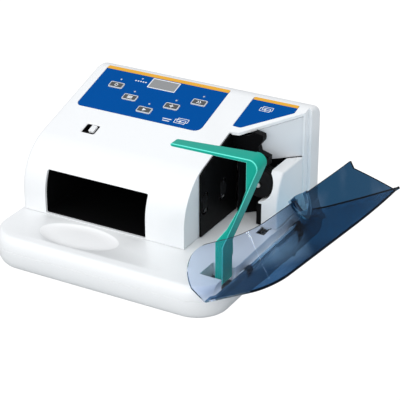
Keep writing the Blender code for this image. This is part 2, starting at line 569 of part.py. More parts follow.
def make_cover(clear):
    """Clear hinged cover: side wall, top flange that runs down into a front wall, and a thumb dimple.

    It is drawn closed, and its joint's empty turns it open.
    """
    joint = joint_empty("cover_joint", (HINGE[0], 0.0, HINGE[1]), COVER_OPEN)
    block = prism("x", cover_profile(0.0), COVER_INNER_X, COVER_OUTER_X)
    soften(block, 2.0, 2, lambda e: all(v.co.x > COVER_OUTER_X - 0.01 for v in e.verts)
           and e.verts[0].co.z + e.verts[1].co.z > 2 * COVER_LOW_Z + 1
           and max(v.co.y for v in e.verts) < COVER_BACK - 0.01)
    cover = add("clear_cover", block, clear, joint)
    inner = prism("x", cover_profile(COVER_SKIN), COVER_INNER_X - 5, COVER_OUTER_X - COVER_SKIN)
    for vert in inner.verts:
        if vert.co.z < COVER_LOW_Z + 0.01:
            vert.co.z -= 5
        if vert.co.y > COVER_BACK - 0.01:
            vert.co.y += 5
    cut(cover, inner)
    (x1, y1), (x2, y2) = COVER_FLANGE_END
    behind = [(x1 - 15, y1 - 0.6), (x1, y1), (x2, y2), (x2, 140.0), (x1 - 15, 140.0)]
    cut(cover, prism("z", behind, -20.0, 120.0))
    corner = 33.0
    foot_centre = (COVER_INNER_X + corner, COVER_LOW_Z + corner)
    foot = [(COVER_INNER_X - 5, foot_centre[1])] + arc(foot_centre, corner, 180, 270, 12)
    foot += [(COVER_OUTER_X + 2, -7.5), (COVER_OUTER_X + 2, -40.0), (COVER_INNER_X - 5, -40.0)]
    cut(cover, prism("y", foot, COVER_FRONT - 5, COVER_FRONT + 30))
    cut(cover, box((190.0, COVER_FRONT + 11.7, -45.0), (230.0, 145.0, COVER_SIDE_LOW)))

    top = cover_top(DIMPLE_Y)
    cup = [[(COVER_INNER_X - 0.6 + s * math.sin(t) * DIMPLE_REACH, DIMPLE_Y - s * math.cos(t), top + z)
            for t in (math.radians(180 * i / 12) for i in range(13))]
           for s, z in ((0.45 * DIMPLE_RADIUS, -9.0), (0.8 * DIMPLE_RADIUS, -6.5), (DIMPLE_RADIUS, -1.8))]
    hollow_levels = ((0.3, -7.6), (0.68, -5.2), (0.86, 3.0))
    hollow = [[(COVER_INNER_X - 2 + s * DIMPLE_RADIUS * math.sin(t) * (DIMPLE_REACH + 0.1),
                DIMPLE_Y - s * DIMPLE_RADIUS * math.cos(t), top + z)
               for t in (math.radians(180 * i / 12) for i in range(13))]
              for s, z in hollow_levels]
    join(cover, loft(cup))
    cut(cover, loft(hollow))
    for middle in KNUCKLES:
        low, high = middle - 4.6, middle + 4.6
        barrel = arc(HINGE, KNUCKLE_RADIUS, -180, 90, 10)
        barrel += [(HINGE[0] - 1.0, -2.0), (COVER_OUTER_X - 2.0, -2.0)]
        join(cover, prism("y", barrel, low, high))
    cut(cover, *(rod("y", HINGE, 1.5, middle - 12, middle + 12, 12) for middle in KNUCKLES))


def make_presser(teal):
    joint = joint_empty("presser_joint", (PRESSER_PIVOT[0], 0.0, PRESSER_PIVOT[1]))
    pivot_x, pivot_z = PRESSER_PIVOT
    outer = [(216.0, pivot_z), (216.0, 27.0), (245.2, 100.5)] + arc((238.4, 103.2), 7.3, -20, 88, 6)
    bar = [(169.0, 109.4), (167.5, 108.6), (167.5, 107.4), (169.0, 106.6)]
    inner = [(236.0, 107.4), (236.0, 83.0), (230.5, 67.0), (219.0, 44.5), (209.0, 31.0), (209.0, pivot_z)]
    knuckle = arc(PRESSER_PIVOT, 3.5, 180, 360, 8)
    arm = add("presser_arm", prism("y", outer + bar + inner + knuckle[1:-1], *PRESSER_Y), teal, joint)
    web = [(236.9, 108.4), (236.9, 92.0), (243.4, 102.5), (242.2, 106.2), (239.4, 108.4)]
    cut(arm, prism("y", web, PRESSER_Y[0] + 3, PRESSER_Y[1] + 5))
    cut(arm, rod("y", PRESSER_PIVOT, 2.0, PRESSER_Y[0] - 5, PRESSER_Y[1] + 5, 16))
    taper = [(160.0, -16.4), (237.0, -9.8), (237.0, -5.0), (160.0, -5.0)]
    cut(arm, prism("z", taper, 104.0, 115.0))


def make_keys(grey):
    half = [s / 2 for s in KEY_SIZE]
    for number, (u, v) in enumerate(KEYS, 1):
        centre = PANEL_MATRIX @ Vector((u, v, 0))
        joint = joint_empty(f"key_{number}_joint", centre)
        cap = box((u - half[0], v - half[1], -3.0), (u + half[0], v + half[1], 1.0))
        soften(cap, 0.5, 2, lambda e: e.verts[0].co.z + e.verts[1].co.z > 0.5)
        add(f"key_{number}", on_panel(cap), grey, joint)


def make_switch_slider(white):
    centre = PANEL_MATRIX @ Vector((SWITCH_HIGH[0] - 4.5, (SWITCH_LOW[1] + SWITCH_HIGH[1]) / 2, 0))
    joint = joint_empty("switch_joint", centre)
    knob = box((SWITCH_HIGH[0] - 6.6, SWITCH_LOW[1] + 2.0, -3.6),
               (SWITCH_HIGH[0] - 1.6, SWITCH_HIGH[1] - 2.0, 1.2))
    add("switch_slider", on_panel(soften(knob, 0.5, 2)), white, joint)


def pulley_profile(radius, low, high):
    """Toothed-belt pulley with two flanges and a bore round the shaft."""
    bore = SHAFT_RADIUS + 0.3
    return [(bore, low), (radius + 1.2, low), (radius + 1.2, low + 0.8), (radius, low + 0.8),
            (radius, high - 0.8), (radius + 1.2, high - 0.8), (radius + 1.2, high), (bore, high)]


def make_belt(name, first, first_radius, second, second_radius, low, high, rubber):
    """Belt drawn tight round two pulleys, as a closed band."""
    gap, thick = 0.35, 1.0
    (x0, z0), (x1, z1) = first, second
    distance = math.hypot(x1 - x0, z1 - z0)
    heading = math.degrees(math.atan2(z1 - z0, x1 - x0))
    spread = math.degrees(math.acos((first_radius - second_radius) / distance))

    def loop(offset):
        far = arc(second, second_radius + offset, heading - spread, heading + spread, 10)
        near = arc(first, first_radius + offset, heading + spread, heading + 360 - spread, 14)
        return far + near

    bm = bmesh.new()
    outlines = [(loop(gap + thick), low), (loop(gap + thick), high), (loop(gap), high), (loop(gap), low)]
    rings = [[bm.verts.new(place("y", p, w)) for p in outline] for outline, w in outlines]
    for ring, following in zip(rings, rings[1:] + rings[:1]):
        for i in range(len(ring)):
            j = (i + 1) % len(ring)
            bm.faces.new((ring[i], ring[j], following[j], following[i]))
    bmesh.ops.recalc_face_normals(bm, faces=bm.faces)
    add(name, bm, rubber)


def make_rollers(steel, rubber, black, white):
    """Shafts with their wheels and pulleys, one moving body each."""
    ends = {"pickup": (14.0, 141.0), "stacker": (14.0, 141.0), "feed": (74.0, 136.0)}
    centres = {"pickup": PICKUP, "stacker": STACKER, "feed": FEED}
    joints = {}
    for name, centre in centres.items():
        joints[name] = joint_empty(f"{name}_joint", (centre[0], 0.0, centre[1]))
        add(f"{name}_shaft", rod("y", centre, SHAFT_RADIUS, *ends[name], 16), steel, joints[name])

    bore = SHAFT_RADIUS + 0.3
    for side, y in (("front", 28.0), ("back", 60.0)):
        tyre = [(bore, y), (PICKUP_RADIUS - 0.6, y), (PICKUP_RADIUS, y + 0.8), (PICKUP_RADIUS, y + 9.2),
                (PICKUP_RADIUS - 0.6, y + 10), (bore, y + 10)]
        add(f"pickup_wheel_{side}", turned("y", PICKUP, tyre, 32), rubber, joints["pickup"])
    roller = [(bore, 76.0), (FEED_RADIUS - 1.2, 76.0), (FEED_RADIUS, 77.2), (FEED_RADIUS, 90.8),
              (FEED_RADIUS - 1.2, 92.0), (bore, 92.0)]
    add("feed_roller", turned("y", FEED, roller, 32), rubber, joints["feed"])

    fins = 6
    for side, y in (("front", 35.5), ("back", 95.5)):
        hub = [(bore, y), (6.0, y), (6.0, y + 5), (bore, y + 5)]
        wheel = add(f"stacker_wheel_{side}", turned("y", STACKER, hub, 24), black, joints["stacker"])
        for i in range(fins):
            turn = 2 * math.pi * i / fins
            tip = [(5.0, 0.0), (8.5, 1.2), (11.6, 4.2), (11.0, 5.0), (8.0, 2.6), (5.0, 1.6)]
            outline = [(STACKER[0] + r * math.cos(turn) - s * math.sin(turn),
                        STACKER[1] + r * math.sin(turn) + s * math.cos(turn)) for r, s in tip]
            join(wheel, prism("y", outline, y + 0.2, y + 4.8))

    motor_joint = joint_empty("motor_joint", (MOTOR[0], 0.0, MOTOR[1]))
    motor_pulley = add("motor_pulley", rod("y", MOTOR, 2.2, 72.0, 134.0, 16), steel, motor_joint)
    rim = [(1.0, 126.2), (6.2, 126.2), (6.2, 127.0), (5.0, 127.0), (5.0, 132.0), (6.2, 132.0), (6.2, 132.8),
           (1.0, 132.8)]
    join(motor_pulley, turned("y", MOTOR, rim, 24))
    add("pickup_pulley", turned("y", PICKUP, pulley_profile(9.0, 126.2, 137.8), 28), white, joints["pickup"])
    stacker_pulley = turned("y", STACKER, pulley_profile(5.0, 133.4, 139.6), 24)
    add("stacker_pulley", stacker_pulley, white, joints["stacker"])
    add("feed_pulley", turned("y", FEED, pulley_profile(8.0, 130.6, 135.8), 24), white, joints["feed"])

    retard_joint = joint_empty("retard_joint", (RETARD[0], 0.0, RETARD[1]))
    retard = add("retard_roller", rod("y", RETARD, RETARD_RADIUS, 77.0, 83.4, 24), rubber, retard_joint)
    join(retard, rod("y", RETARD, 1.2, 83.0, 92.0, 12))


def make_pins(steel):
    for side, middle in zip(("front", "back"), KNUCKLES):
        add(f"hinge_pin_{side}", rod("y", HINGE, 1.2, middle - 10.8, middle + 10.8, 12), steel)
    add("presser_pivot", rod("y", PRESSER_PIVOT, 1.6, PRESSER_Y[0] - 6, PRESSER_Y[1] + 6, 12), steel)


def make_spring(steel):
    """Presser's torsion spring: a short coil round the pivot pin, under the deck."""
    curve = bpy.data.curves.new("presser_spring", "CURVE")
    curve.dimensions = "3D"
    curve.bevel_depth = 0.25 * MM
    curve.bevel_resolution = 1
    curve.render_resolution_u = 0
    curve.resolution_u = 1
    curve.use_fill_caps = True
    turns, steps, radius = 3, 12, 2.6
    y0, pitch = PRESSER_Y[1] + 0.35, 0.65
    turned_by = [2 * math.pi * i / steps for i in range(turns * steps + 1)]
    points = [(PRESSER_PIVOT[0] + radius * math.cos(angle), y0 + pitch * angle / (2 * math.pi),
               PRESSER_PIVOT[1] + radius * math.sin(angle)) for angle in turned_by]
    spline = curve.splines.new("POLY")
    spline.points.add(len(points) - 1)
    for slot, point in zip(spline.points, points):
        slot.co = (*((Vector(point) - ORIGIN) * MM), 1.0)
    made = bpy.data.objects.new("presser_spring", curve)
    curve.materials.append(steel)
    bpy.context.collection.objects.link(made)


def main():
    for old in list(bpy.data.objects):
        bpy.data.objects.remove(old, do_unlink=True)

    white = material("white_plastic", (0.88, 0.89, 0.9), 0.25)
    grey = material("grey_plastic", (0.72, 0.73, 0.75), 0.35)
    black = material("black_plastic", (0.012, 0.012, 0.014), 0.4)
    blue = material("label_blue", (0.0, 0.084, 0.352), 0.3)
    key_grey = material("key_grey", (0.09, 0.09, 0.1), 0.4)
    lens = material("display_lens", (0.3, 0.3, 0.31), 0.15)
    lamp = material("lamp_lens", (0.75, 0.76, 0.72), 0.2, alpha=0.8)
    clear = material("clear_blue", (0.05, 0.14, 0.3), 0.08, alpha=0.45)
    teal = material("presser_teal", (0.01, 0.39, 0.29), 0.3)
    steel = material("steel", (0.62, 0.62, 0.6), 0.3, 1.0)
    brass = material("brass", (0.75, 0.55, 0.25), 0.3, 1.0)
    board = material("circuit_board", (0.02, 0.16, 0.06), 0.5)
    motor_grey = material("motor_can", (0.35, 0.35, 0.36), 0.35, 1.0)
    rubber = material("rubber", (0.015, 0.015, 0.015), 0.75)

    make_base(white, rubber)
    make_housing(white)
    make_labels(blue)
    make_display(lens, lamp, board)
    make_switch_bezel(black)
    make_pocket(black)
    make_hopper(white, grey, black)
    make_mechanism(steel, black, brass, board, lamp, motor_grey)
    make_rollers(steel, rubber, black, white)
    make_belt("drive_belt", MOTOR, 5.0, PICKUP, 9.0, 128.0, 131.4, rubber)
    make_belt("feed_belt", PICKUP, 9.0, FEED, 8.0, 131.9, 134.1, rubber)
    make_belt("stacker_belt", PICKUP, 9.0, STACKER, 5.0, 134.6, 136.8, rubber)
    make_cover(clear)
    make_presser(teal)
    make_keys(key_grey)
    make_switch_slider(white)
    make_pins(steel)
    make_spring(steel)


main()
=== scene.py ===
"""Looks of the compact banknote counting machine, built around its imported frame.

Lengths are millimetres in the machine's own axes, and become metres as each piece is made: x runs from the
housing's left side to its right, y from the housing's front wall to its back, and z up from the deck.
"""

import json
from math import atan, cos, degrees, hypot, radians, sin, tan

import bmesh
import bpy
from mathutils import Matrix, Vector


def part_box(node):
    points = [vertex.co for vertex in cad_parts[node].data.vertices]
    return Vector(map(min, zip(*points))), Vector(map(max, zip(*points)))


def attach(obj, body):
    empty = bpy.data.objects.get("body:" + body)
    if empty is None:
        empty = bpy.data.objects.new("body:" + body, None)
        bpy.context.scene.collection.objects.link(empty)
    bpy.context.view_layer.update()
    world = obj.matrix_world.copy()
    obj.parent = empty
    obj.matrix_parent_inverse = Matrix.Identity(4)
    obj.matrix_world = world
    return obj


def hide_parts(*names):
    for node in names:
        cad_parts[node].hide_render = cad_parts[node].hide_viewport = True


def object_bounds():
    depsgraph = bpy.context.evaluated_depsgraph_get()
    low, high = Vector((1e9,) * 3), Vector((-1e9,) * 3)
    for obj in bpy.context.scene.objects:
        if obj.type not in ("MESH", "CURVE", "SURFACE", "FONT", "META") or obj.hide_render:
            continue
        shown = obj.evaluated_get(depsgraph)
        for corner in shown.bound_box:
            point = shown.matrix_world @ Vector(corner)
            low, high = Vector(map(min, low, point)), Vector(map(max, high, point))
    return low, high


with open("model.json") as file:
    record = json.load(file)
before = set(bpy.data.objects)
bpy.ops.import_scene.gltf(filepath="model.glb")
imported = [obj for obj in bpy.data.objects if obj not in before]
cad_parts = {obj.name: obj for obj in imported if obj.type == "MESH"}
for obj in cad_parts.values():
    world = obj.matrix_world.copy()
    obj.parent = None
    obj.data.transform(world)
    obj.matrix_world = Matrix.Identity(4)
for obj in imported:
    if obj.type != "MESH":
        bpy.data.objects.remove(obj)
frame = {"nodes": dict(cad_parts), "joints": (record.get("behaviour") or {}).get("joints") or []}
cad_low, cad_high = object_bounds()

MM = 0.001
GAP = 0.3
housing_low, housing_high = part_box("upper_housing")
ORIGIN = Vector((housing_low.x, housing_low.y, housing_low.z - GAP * MM))


def machine_point(point):
    """A world point in machine millimetres."""
    return (Vector(point) - ORIGIN) / MM


def axis_of(joint_name):
    """(x, z) of a joint that turns about y."""
    joint = next(j for j in frame["joints"] if j["name"] == joint_name)
    place = machine_point(joint["pos_m"])
    return place.x, place.z


def node_box(node):
    low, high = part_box(node)
    return machine_point(low), machine_point(high)


# Housing
WIDTH, DEPTH = ((housing_high - housing_low) / MM).xy
WALL = 2.5
NOSE_RADIUS = 47.6
NOSE_HEIGHT = 18.0
SLOPE = atan(0.311)
CROWN_RADIUS = 12.0
CROWN_START = 131.0
END_RADIUS = 4.0
PANEL_Y = 52.4
VENTS = 10
VENT_START = 44.0
VENT_STEP = 9.0
VENT_WIDTH = 3.4
VENT_Z = (30.0, 52.0)

# Hopper: its left side, the plan of its diagonal back, the groove in the right back post, the ledge's spans
HOPPER_X = 165.0
HOPPER_CUT = [(165.0, 80.5), (173.5, 81.5), (217.0, 121.7)]
GROOVE = (217.0, 129.0)
LEDGE_X = (198.5, 216.6)
LEDGE_Y = (70.8, 121.5)
LEDGE_Z = 50.0

# Places clear of the pieces, where cutters end
PAST_RIGHT = WIDTH + 20
PAST_HOPPER = 140.0
PAST_TOP = 140.0

# Base
FRONT = -57.0
BULGE_SIDE = 3.0
BULGE_FRONT = 7.0
SPLIT_Z = -12.0
TRAY_BOTTOM = -31.5
CORNER_RADII = (30.0, 32.0, 9.0, 9.0)
SCREW_PLACES = [(40.0, -34.0), (180.0, -34.0), (40.0, 124.0), (180.0, 124.0), (110.0, 44.0)]
DISH_CENTRE = (74.2, -22.8)
DISH_HALF = (38.5, 19.6)

# Outlet pocket
POCKET_LOW = (24.5, 1.0)
POCKET_HIGH = (127.0, 41.0)
POCKET_BACK = 134.0
STACKER_SLOTS = (38.0, 98.0)

# Cover
HINGE = axis_of("cover_hinge")
COVER_OPEN = radians(63.0)
COVER_SKIN = 2.0
COVER_OUTER_X = 220.0
COVER_INNER_X = 172.0
COVER_BACK = 126.5
COVER_LOW_Z = -16.0
COVER_SIDE_LOW = -4.0
COVER_NOSE = (-32.7, 36.3)
COVER_NOSE_RADIUS = 28.0
COVER_FRONT = COVER_NOSE[0] - COVER_NOSE_RADIUS
COVER_LEAN = radians(1.0)
COVER_RISE = radians(11.6)
COVER_CROWN_RADIUS = 391.0
COVER_TOP = 89.4
COVER_FLANGE_END = [(178.8, 75.4), (217.8, 118.9)]
DIMPLE_Y = 4.3
DIMPLE_RADIUS = 12.0
DIMPLE_REACH = 1.6
KNUCKLE_RADIUS = 2.6
KNUCKLES = (7.0, 99.0)

# Presser
PRESSER_PIVOT = axis_of("presser_fold")
PRESSER_Y = (-26.0, -9.0)

# Openings in the deck, as (left, front) and (right, back) corners: mechanism, note sensor, presser
DECK_OPENINGS = [((131.5, 12.0), (162.0, 138.0)), ((203.0, 58.0), (211.5, 77.5)),
                 ((196.5, PRESSER_Y[0] - 3), (216.9, PRESSER_Y[1] + 3))]

# Control panel, in the panel's own axes: across, up the slope
LABEL_LOW = (11.5, 20.9)
LABEL_HIGH = (139.0, 81.8)
STRIPE_LOW = 77.6
SIDE_LABEL_TOP = 80.1
SIDE_STRIPE_LOW = 76.4
SIDE_STRIPE_X = (164.2, 207.9)
FILM_LOW = -0.3
FILM_TOP = 0.15
PRINT_Z = (FILM_TOP - 0.05, 0.19)
KEYS = [(33.6, 57.0), (55.1, 44.6), (77.0, 32.6), (98.5, 44.6), (120.0, 57.0)]
KEY_SIZE = (14.6, 7.8)
SIGN_Z = (0.75, 0.95)
LAMP_OFFSET = 9.2
STATUS_LAMP = (52.7, 72.7)
DISPLAY_LOW = (62.3, 62.8)
DISPLAY_HIGH = (91.0, 76.6)
SWITCH_LOW = (36.5, -11.0)
SWITCH_HIGH = (49.7, 1.0)

# Mechanism
PICKUP = axis_of("pickup_spin")
PICKUP_RADIUS = 11.5
WHEEL_SLOTS = (27.0, 59.0)
FEED = axis_of("feed_spin")
FEED_RADIUS = 13.0
RETARD = axis_of("retard_spin")
RETARD_RADIUS = 5.5
SHAFT_RADIUS = 2.5

# Camera, from the machine's origin: its place, and how far it looks down and turns left, in degrees
CAMERA_PLACE = (727.9, -979.5, 602.9)
CAMERA_DOWN = 26.2
CAMERA_TURN = 29.2
CAMERA_LENS = 136.44


# ------------ shapes

def arc(centre, radius, start, end, steps):
    """Points on an arc, angles in degrees, both ends included."""
    turns = [radians(start + (end - start) * i / steps) for i in range(steps + 1)]
    return [(centre[0] + radius * cos(t), centre[1] + radius * sin(t)) for t in turns]


def rounded(low, high, radius, steps=8):
    """Outline of a rectangle with round corners."""
    (x0, y0), (x1, y1) = low, high
    corners = [((x1 - radius, y1 - radius), 0), ((x0 + radius, y1 - radius), 90),
               ((x0 + radius, y0 + radius), 180), ((x1 - radius, y0 + radius), 270)]
    return [p for centre, turn in corners for p in arc(centre, radius, turn, turn + 90, steps)]


def grown(low, high, extra):
    """Corners of a rectangle with each side moved outwards by extra."""
    return (low[0] - extra, low[1] - extra), (high[0] + extra, high[1] + extra)


def quarter_turn(steps):
    return [radians(90 * i / steps) for i in range(steps + 1)]


def round_corners(outline, radii):
    """Outline with each corner rounded to its own radius; 0 leaves it sharp."""
    made = []
    steps = 6
    for i, (corner, radius) in enumerate(zip(outline, radii)):
        here = Vector(corner)
        back = (Vector(outline[i - 1]) - here).normalized()
        ahead = (Vector(outline[(i + 1) % len(outline)]) - here).normalized()
        half = back.angle(ahead) / 2
        if radius <= 0 or half > radians(88):
            made.append(tuple(here))
            continue
        centre = here + (back + ahead).normalized() * radius / sin(half)
        first = here + back * radius / tan(half) - centre
        last = here + ahead * radius / tan(half) - centre
        swing = first.angle_signed(last)
        for step in range(steps + 1):
            spoke = first.copy()
            spoke.rotate(Matrix.Rotation(-swing * step / steps, 2))
            made.append(tuple(centre + spoke))
    return made


def place(axis, point, along):
    """A point of an outline in space, with the outline square to the axis."""
    u, v = point
    return {"x": (along, u, v), "y": (u, along, v), "z": (u, v, along)}[axis]


def band(bm, first, second):
    """New faces between two loops of vertices."""
    return [bm.faces.new(four) for four in zip(first, first[1:] + first[:1], second[1:] + second[:1], second)]


def tube(bm, rows, closed=False):
    """Faces from each loop of vertices to the next, and from the last to the first if it is closed."""
    for first, second in zip(rows, rows[1:] + rows[:1] if closed else rows[1:]):
        band(bm, first, second)


def loft(loops):
    """Closed body through loops that all have the same number of points."""
    bm = bmesh.new()
    rows = [[bm.verts.new(p) for p in loop] for loop in loops]
    tube(bm, rows)
    bm.faces.new(rows[0])
    bm.faces.new(rows[-1])
    bmesh.ops.recalc_face_normals(bm, faces=bm.faces)
    return bm


def prism(axis, outline, low, high):
    return loft([[place(axis, p, w) for p in outline] for w in (low, high)])


def box(low, high):
    return prism("z", [(low[0], low[1]), (high[0], low[1]), (high[0], high[1]), (low[0], high[1])],
                 low[2], high[2])


def circle(centre, radius, steps):
    return arc(centre, radius, 0, 360 * (steps - 1) / steps, steps - 1)


def rod(axis, centre, radius, low, high, steps=48):
    return prism(axis, circle(centre, radius, steps), low, high)


def turned(axis, centre, profile, steps):
    """Body turned about an axis from a closed profile of (radius, along) points that clears the axis."""
    bm = bmesh.new()
    rings = [[bm.verts.new(place(axis, p, along)) for p in circle(centre, radius, steps)]
             for radius, along in profile]
    tube(bm, rings, closed=True)
    bmesh.ops.recalc_face_normals(bm, faces=bm.faces)
    return bm


def mesh_of(bm, name):
    """Mesh data of a body, which is freed."""
    mesh = bpy.data.meshes.new(name)
    bm.to_mesh(mesh)
    bm.free()
    return mesh


def merged(*parts):
    """Several bodies in one."""
    bm = bmesh.new()
    for part in parts:
        mesh = mesh_of(part, "merge")
        bm.from_mesh(mesh)
        bpy.data.meshes.remove(mesh)
    return bm


def soften(bm, width, segments, choose):
    """Bevel the sharp edges that choose accepts."""
    edges = [e for e in bm.edges if len(e.link_faces) == 2 and e.calc_face_angle() > 0.6 and choose(e)]
    bmesh.ops.bevel(bm, geom=edges, offset=width, segments=segments, profile=0.5, affect="EDGES")
    return bm


# ------------ materials

class Nodes:
    """Short way to wire a material's node tree."""

    def __init__(self, name):
        self.material = bpy.data.materials.new(name)
        self.material.use_nodes = True
        self.tree = self.material.node_tree
        self.shader = self.tree.nodes["Principled BSDF"]
        self.coordinates = self.tree.nodes.new("ShaderNodeTexCoord").outputs["Object"]

    def add(self, kind, settings=None, **inputs):
        node = self.tree.nodes.new(kind)
        for key, value in (settings or {}).items():
            setattr(node, key, value)
        self.fill(node, inputs)
        return node

    def fill(self, node, inputs):
        """Link or set a node's inputs, which are named with _ for each space."""
        for key, value in inputs.items():
            socket = node.inputs[key.replace("_", " ")]
            if isinstance(value, bpy.types.NodeSocket):
                self.tree.links.new(value, socket)
            else:
                socket.default_value = value

    def noise(self, scale, detail=3.0, vector=None):
        return self.add("ShaderNodeTexNoise", Vector=vector or self.coordinates, Scale=scale,
                        Detail=detail).outputs["Fac"]

    def between(self, factor, low, high):
        """A value that runs from low to high with the factor."""
        return self.add("ShaderNodeMapRange", Value=factor, From_Min=0.3, From_Max=0.7, To_Min=low,
                        To_Max=high).outputs["Result"]

    def blend(self, factor, first, second):
        """A colour mixed from two by the factor."""
        node = self.tree.nodes.new("ShaderNodeMix")
        node.data_type = "RGBA"
        self.tree.links.new(factor, node.inputs[0])
        node.inputs[6].default_value = (*first, 1.0)
        node.inputs[7].default_value = (*second, 1.0)
        return node.outputs[2]

    def bump(self, height, depth, strength=0.5):
        node = self.add("ShaderNodeBump", Height=height, Strength=strength, Distance=depth)
        self.tree.links.new(node.outputs["Normal"], self.shader.inputs["Normal"])

    def set(self, **inputs):
        self.fill(self.shader, inputs)


def scaled(colour, factor):
    return tuple(min(1.0, c * factor) for c in colour)


def plastic(name, colour, roughness, spread=0.03, grain=1500.0, grain_depth=4e-6, coat=0.0, specular=0.5):
    """Moulded plastic: faint cloudy tone, fine surface grain and slightly uneven gloss."""
    made = Nodes(name)
    cloud = made.noise(18.0)
    made.set(Base_Color=made.blend(cloud, scaled(colour, 1 - spread), scaled(colour, 1 + spread)),
             Roughness=made.between(made.noise(260.0), roughness * 0.95, roughness * 1.05),
             Coat_Weight=coat, Coat_Roughness=0.08, Specular_IOR_Level=specular)
    made.bump(made.noise(grain, 2.0), grain_depth, 0.35)
    return made.material


def brushed(name, colour, roughness, scale=(60.0, 2500.0, 60.0)):
    """Metal with fine lines across one direction."""
    made = Nodes(name)
    stretched = made.add("ShaderNodeMapping", Vector=made.coordinates, Scale=scale).outputs["Vector"]
    lines = made.noise(1.0, 4.0, stretched)
    made.set(Base_Color=made.blend(lines, scaled(colour, 0.85), scaled(colour, 1.1)), Metallic=1.0,
             Roughness=made.between(lines, roughness * 0.75, roughness * 1.3))
    made.bump(lines, 6e-6)
    return made.material


def rubber_like(name, colour, roughness):
    made = Nodes(name)
    dust = made.noise(220.0, 5.0)
    made.set(Base_Color=made.blend(dust, scaled(colour, 0.7), scaled(colour, 1.5)),
             Roughness=made.between(dust, roughness * 0.9, min(1.0, roughness * 1.2)),
             Specular_IOR_Level=0.2)
    made.bump(made.noise(2600.0, 3.0), 1.5e-5)
    return made.material


def circuit(name):
    """Green solder mask over copper tracks."""
    made = Nodes(name)
    tracks = made.add("ShaderNodeTexBrick", Vector=made.coordinates, Scale=90.0, Mortar_Size=0.012,
                      Color1=(0.01, 0.13, 0.05, 1.0), Color2=(0.012, 0.17, 0.06, 1.0),
                      Mortar=(0.08, 0.3, 0.12, 1.0))
    made.set(Base_Color=tracks.outputs["Color"], Roughness=0.35)
    made.bump(tracks.outputs["Fac"], 3e-5)
    return made.material


def clear_with_painted_shade(name, front, back, start, end, ior):
    """Clear tinted acrylic with painted shade: its colour changes from the front colour to the back colour
    between start and end, in metres behind the front bend.
    """
    made = Nodes(name)
    along = made.add("ShaderNodeSeparateXYZ", Vector=made.coordinates).outputs["Y"]
    bend = ORIGIN.y + MM * COVER_NOSE[0]
    depth = made.add("ShaderNodeMapRange", Value=along, From_Min=bend + start, From_Max=bend + end,
                     To_Min=0.0, To_Max=1.0).outputs["Result"]
    swirl = made.between(made.noise(25.0), -0.05, 0.05)
    factor = made.add("ShaderNodeMath", {"operation": "ADD", "use_clamp": True}, Value=depth)
    made.tree.links.new(swirl, factor.inputs[1])
    made.set(Base_Color=made.blend(factor.outputs["Value"], front, back), Roughness=0.03, IOR=ior,
             Transmission_Weight=1.0)
    made.bump(made.noise(60.0, 1.0), 1.2e-5, 0.25)
    return made.material


def lamp_glow(name, colour):
    made = Nodes(name)
    haze = made.noise(900.0)
    made.set(Base_Color=made.blend(haze, scaled(colour, 0.9), scaled(colour, 1.05)), Roughness=0.18,
             Transmission_Weight=0.3, Coat_Weight=0.5)
    return made.material


WHITE = plastic("white_gloss", (0.86, 0.872, 0.88), 0.3, 0.006, coat=0.12)
# Whiter copy of the white plastic for the finger dish: a painted highlight in place of the dish's bright
# reflection.
DISH_PAINTED_HIGHLIGHT = plastic("white_painted_highlight", (0.975, 0.98, 0.985), 0.4, 0.003, specular=0.3)
PALE_GREY = plastic("pale_grey", (0.76, 0.775, 0.79), 0.36, 0.012)
BLACK = plastic("black_moulded", (0.0018, 0.0018, 0.0022), 0.5, 0.2, 900.0, 1.2e-5, specular=0.08)
DEEP_BLACK = plastic("black_pocket", (0.0012, 0.0012, 0.0015), 0.6, 0.2, 900.0, 1.2e-5, specular=0.15)
BLUE = plastic("print_blue", (0.0, 0.072, 0.31), 0.6, 0.03, 2200.0, 2e-6, specular=0.02)
YELLOW = plastic("print_yellow", (0.77, 0.39, 0.035), 0.45, 0.04, 2200.0, 2e-6, specular=0.2)
PRINT_WHITE = plastic("print_white", (0.8, 0.83, 0.86), 0.4, 0.02, 2200.0, 2e-6, specular=0.2)
KEY_GREY = plastic("key_dark_grey", (0.075, 0.078, 0.082), 0.45, 0.05, 1800.0, 8e-6, specular=0.25)
KEY_RIM = plastic("key_rim", (0.6, 0.63, 0.67), 0.4, 0.02)
LCD = plastic("display_face", (0.27, 0.275, 0.28), 0.2, 0.05, 2600.0, 1e-6, coat=0.25, specular=0.3)
TEAL = plastic("presser_green", (0.004, 0.36, 0.27), 0.38, 0.04, specular=0.15)
# Light copy of the presser green for its front bevels: a painted highlight.
TEAL_PAINTED_HIGHLIGHT = plastic("presser_painted_highlight", (0.12, 0.82, 0.68), 0.3, 0.03, specular=0.4)
# Cover: painted shade, light at its front wall and dark further back.
CLEAR = clear_with_painted_shade("clear_blue", (0.7, 0.79, 0.95), (0.011, 0.056, 0.12), -0.014, 0.03, 1.2)
# Cover's side wall and thumb recess wall: a copy with painted shade, dark at the front and lighter towards
# the back.
CLEAR_SIDE_PAINTED_SHADE = clear_with_painted_shade("clear_blue_side_painted_shade", (0.035, 0.11, 0.21), (0.42, 0.66, 0.82), 0.02, 0.07, 1.02)
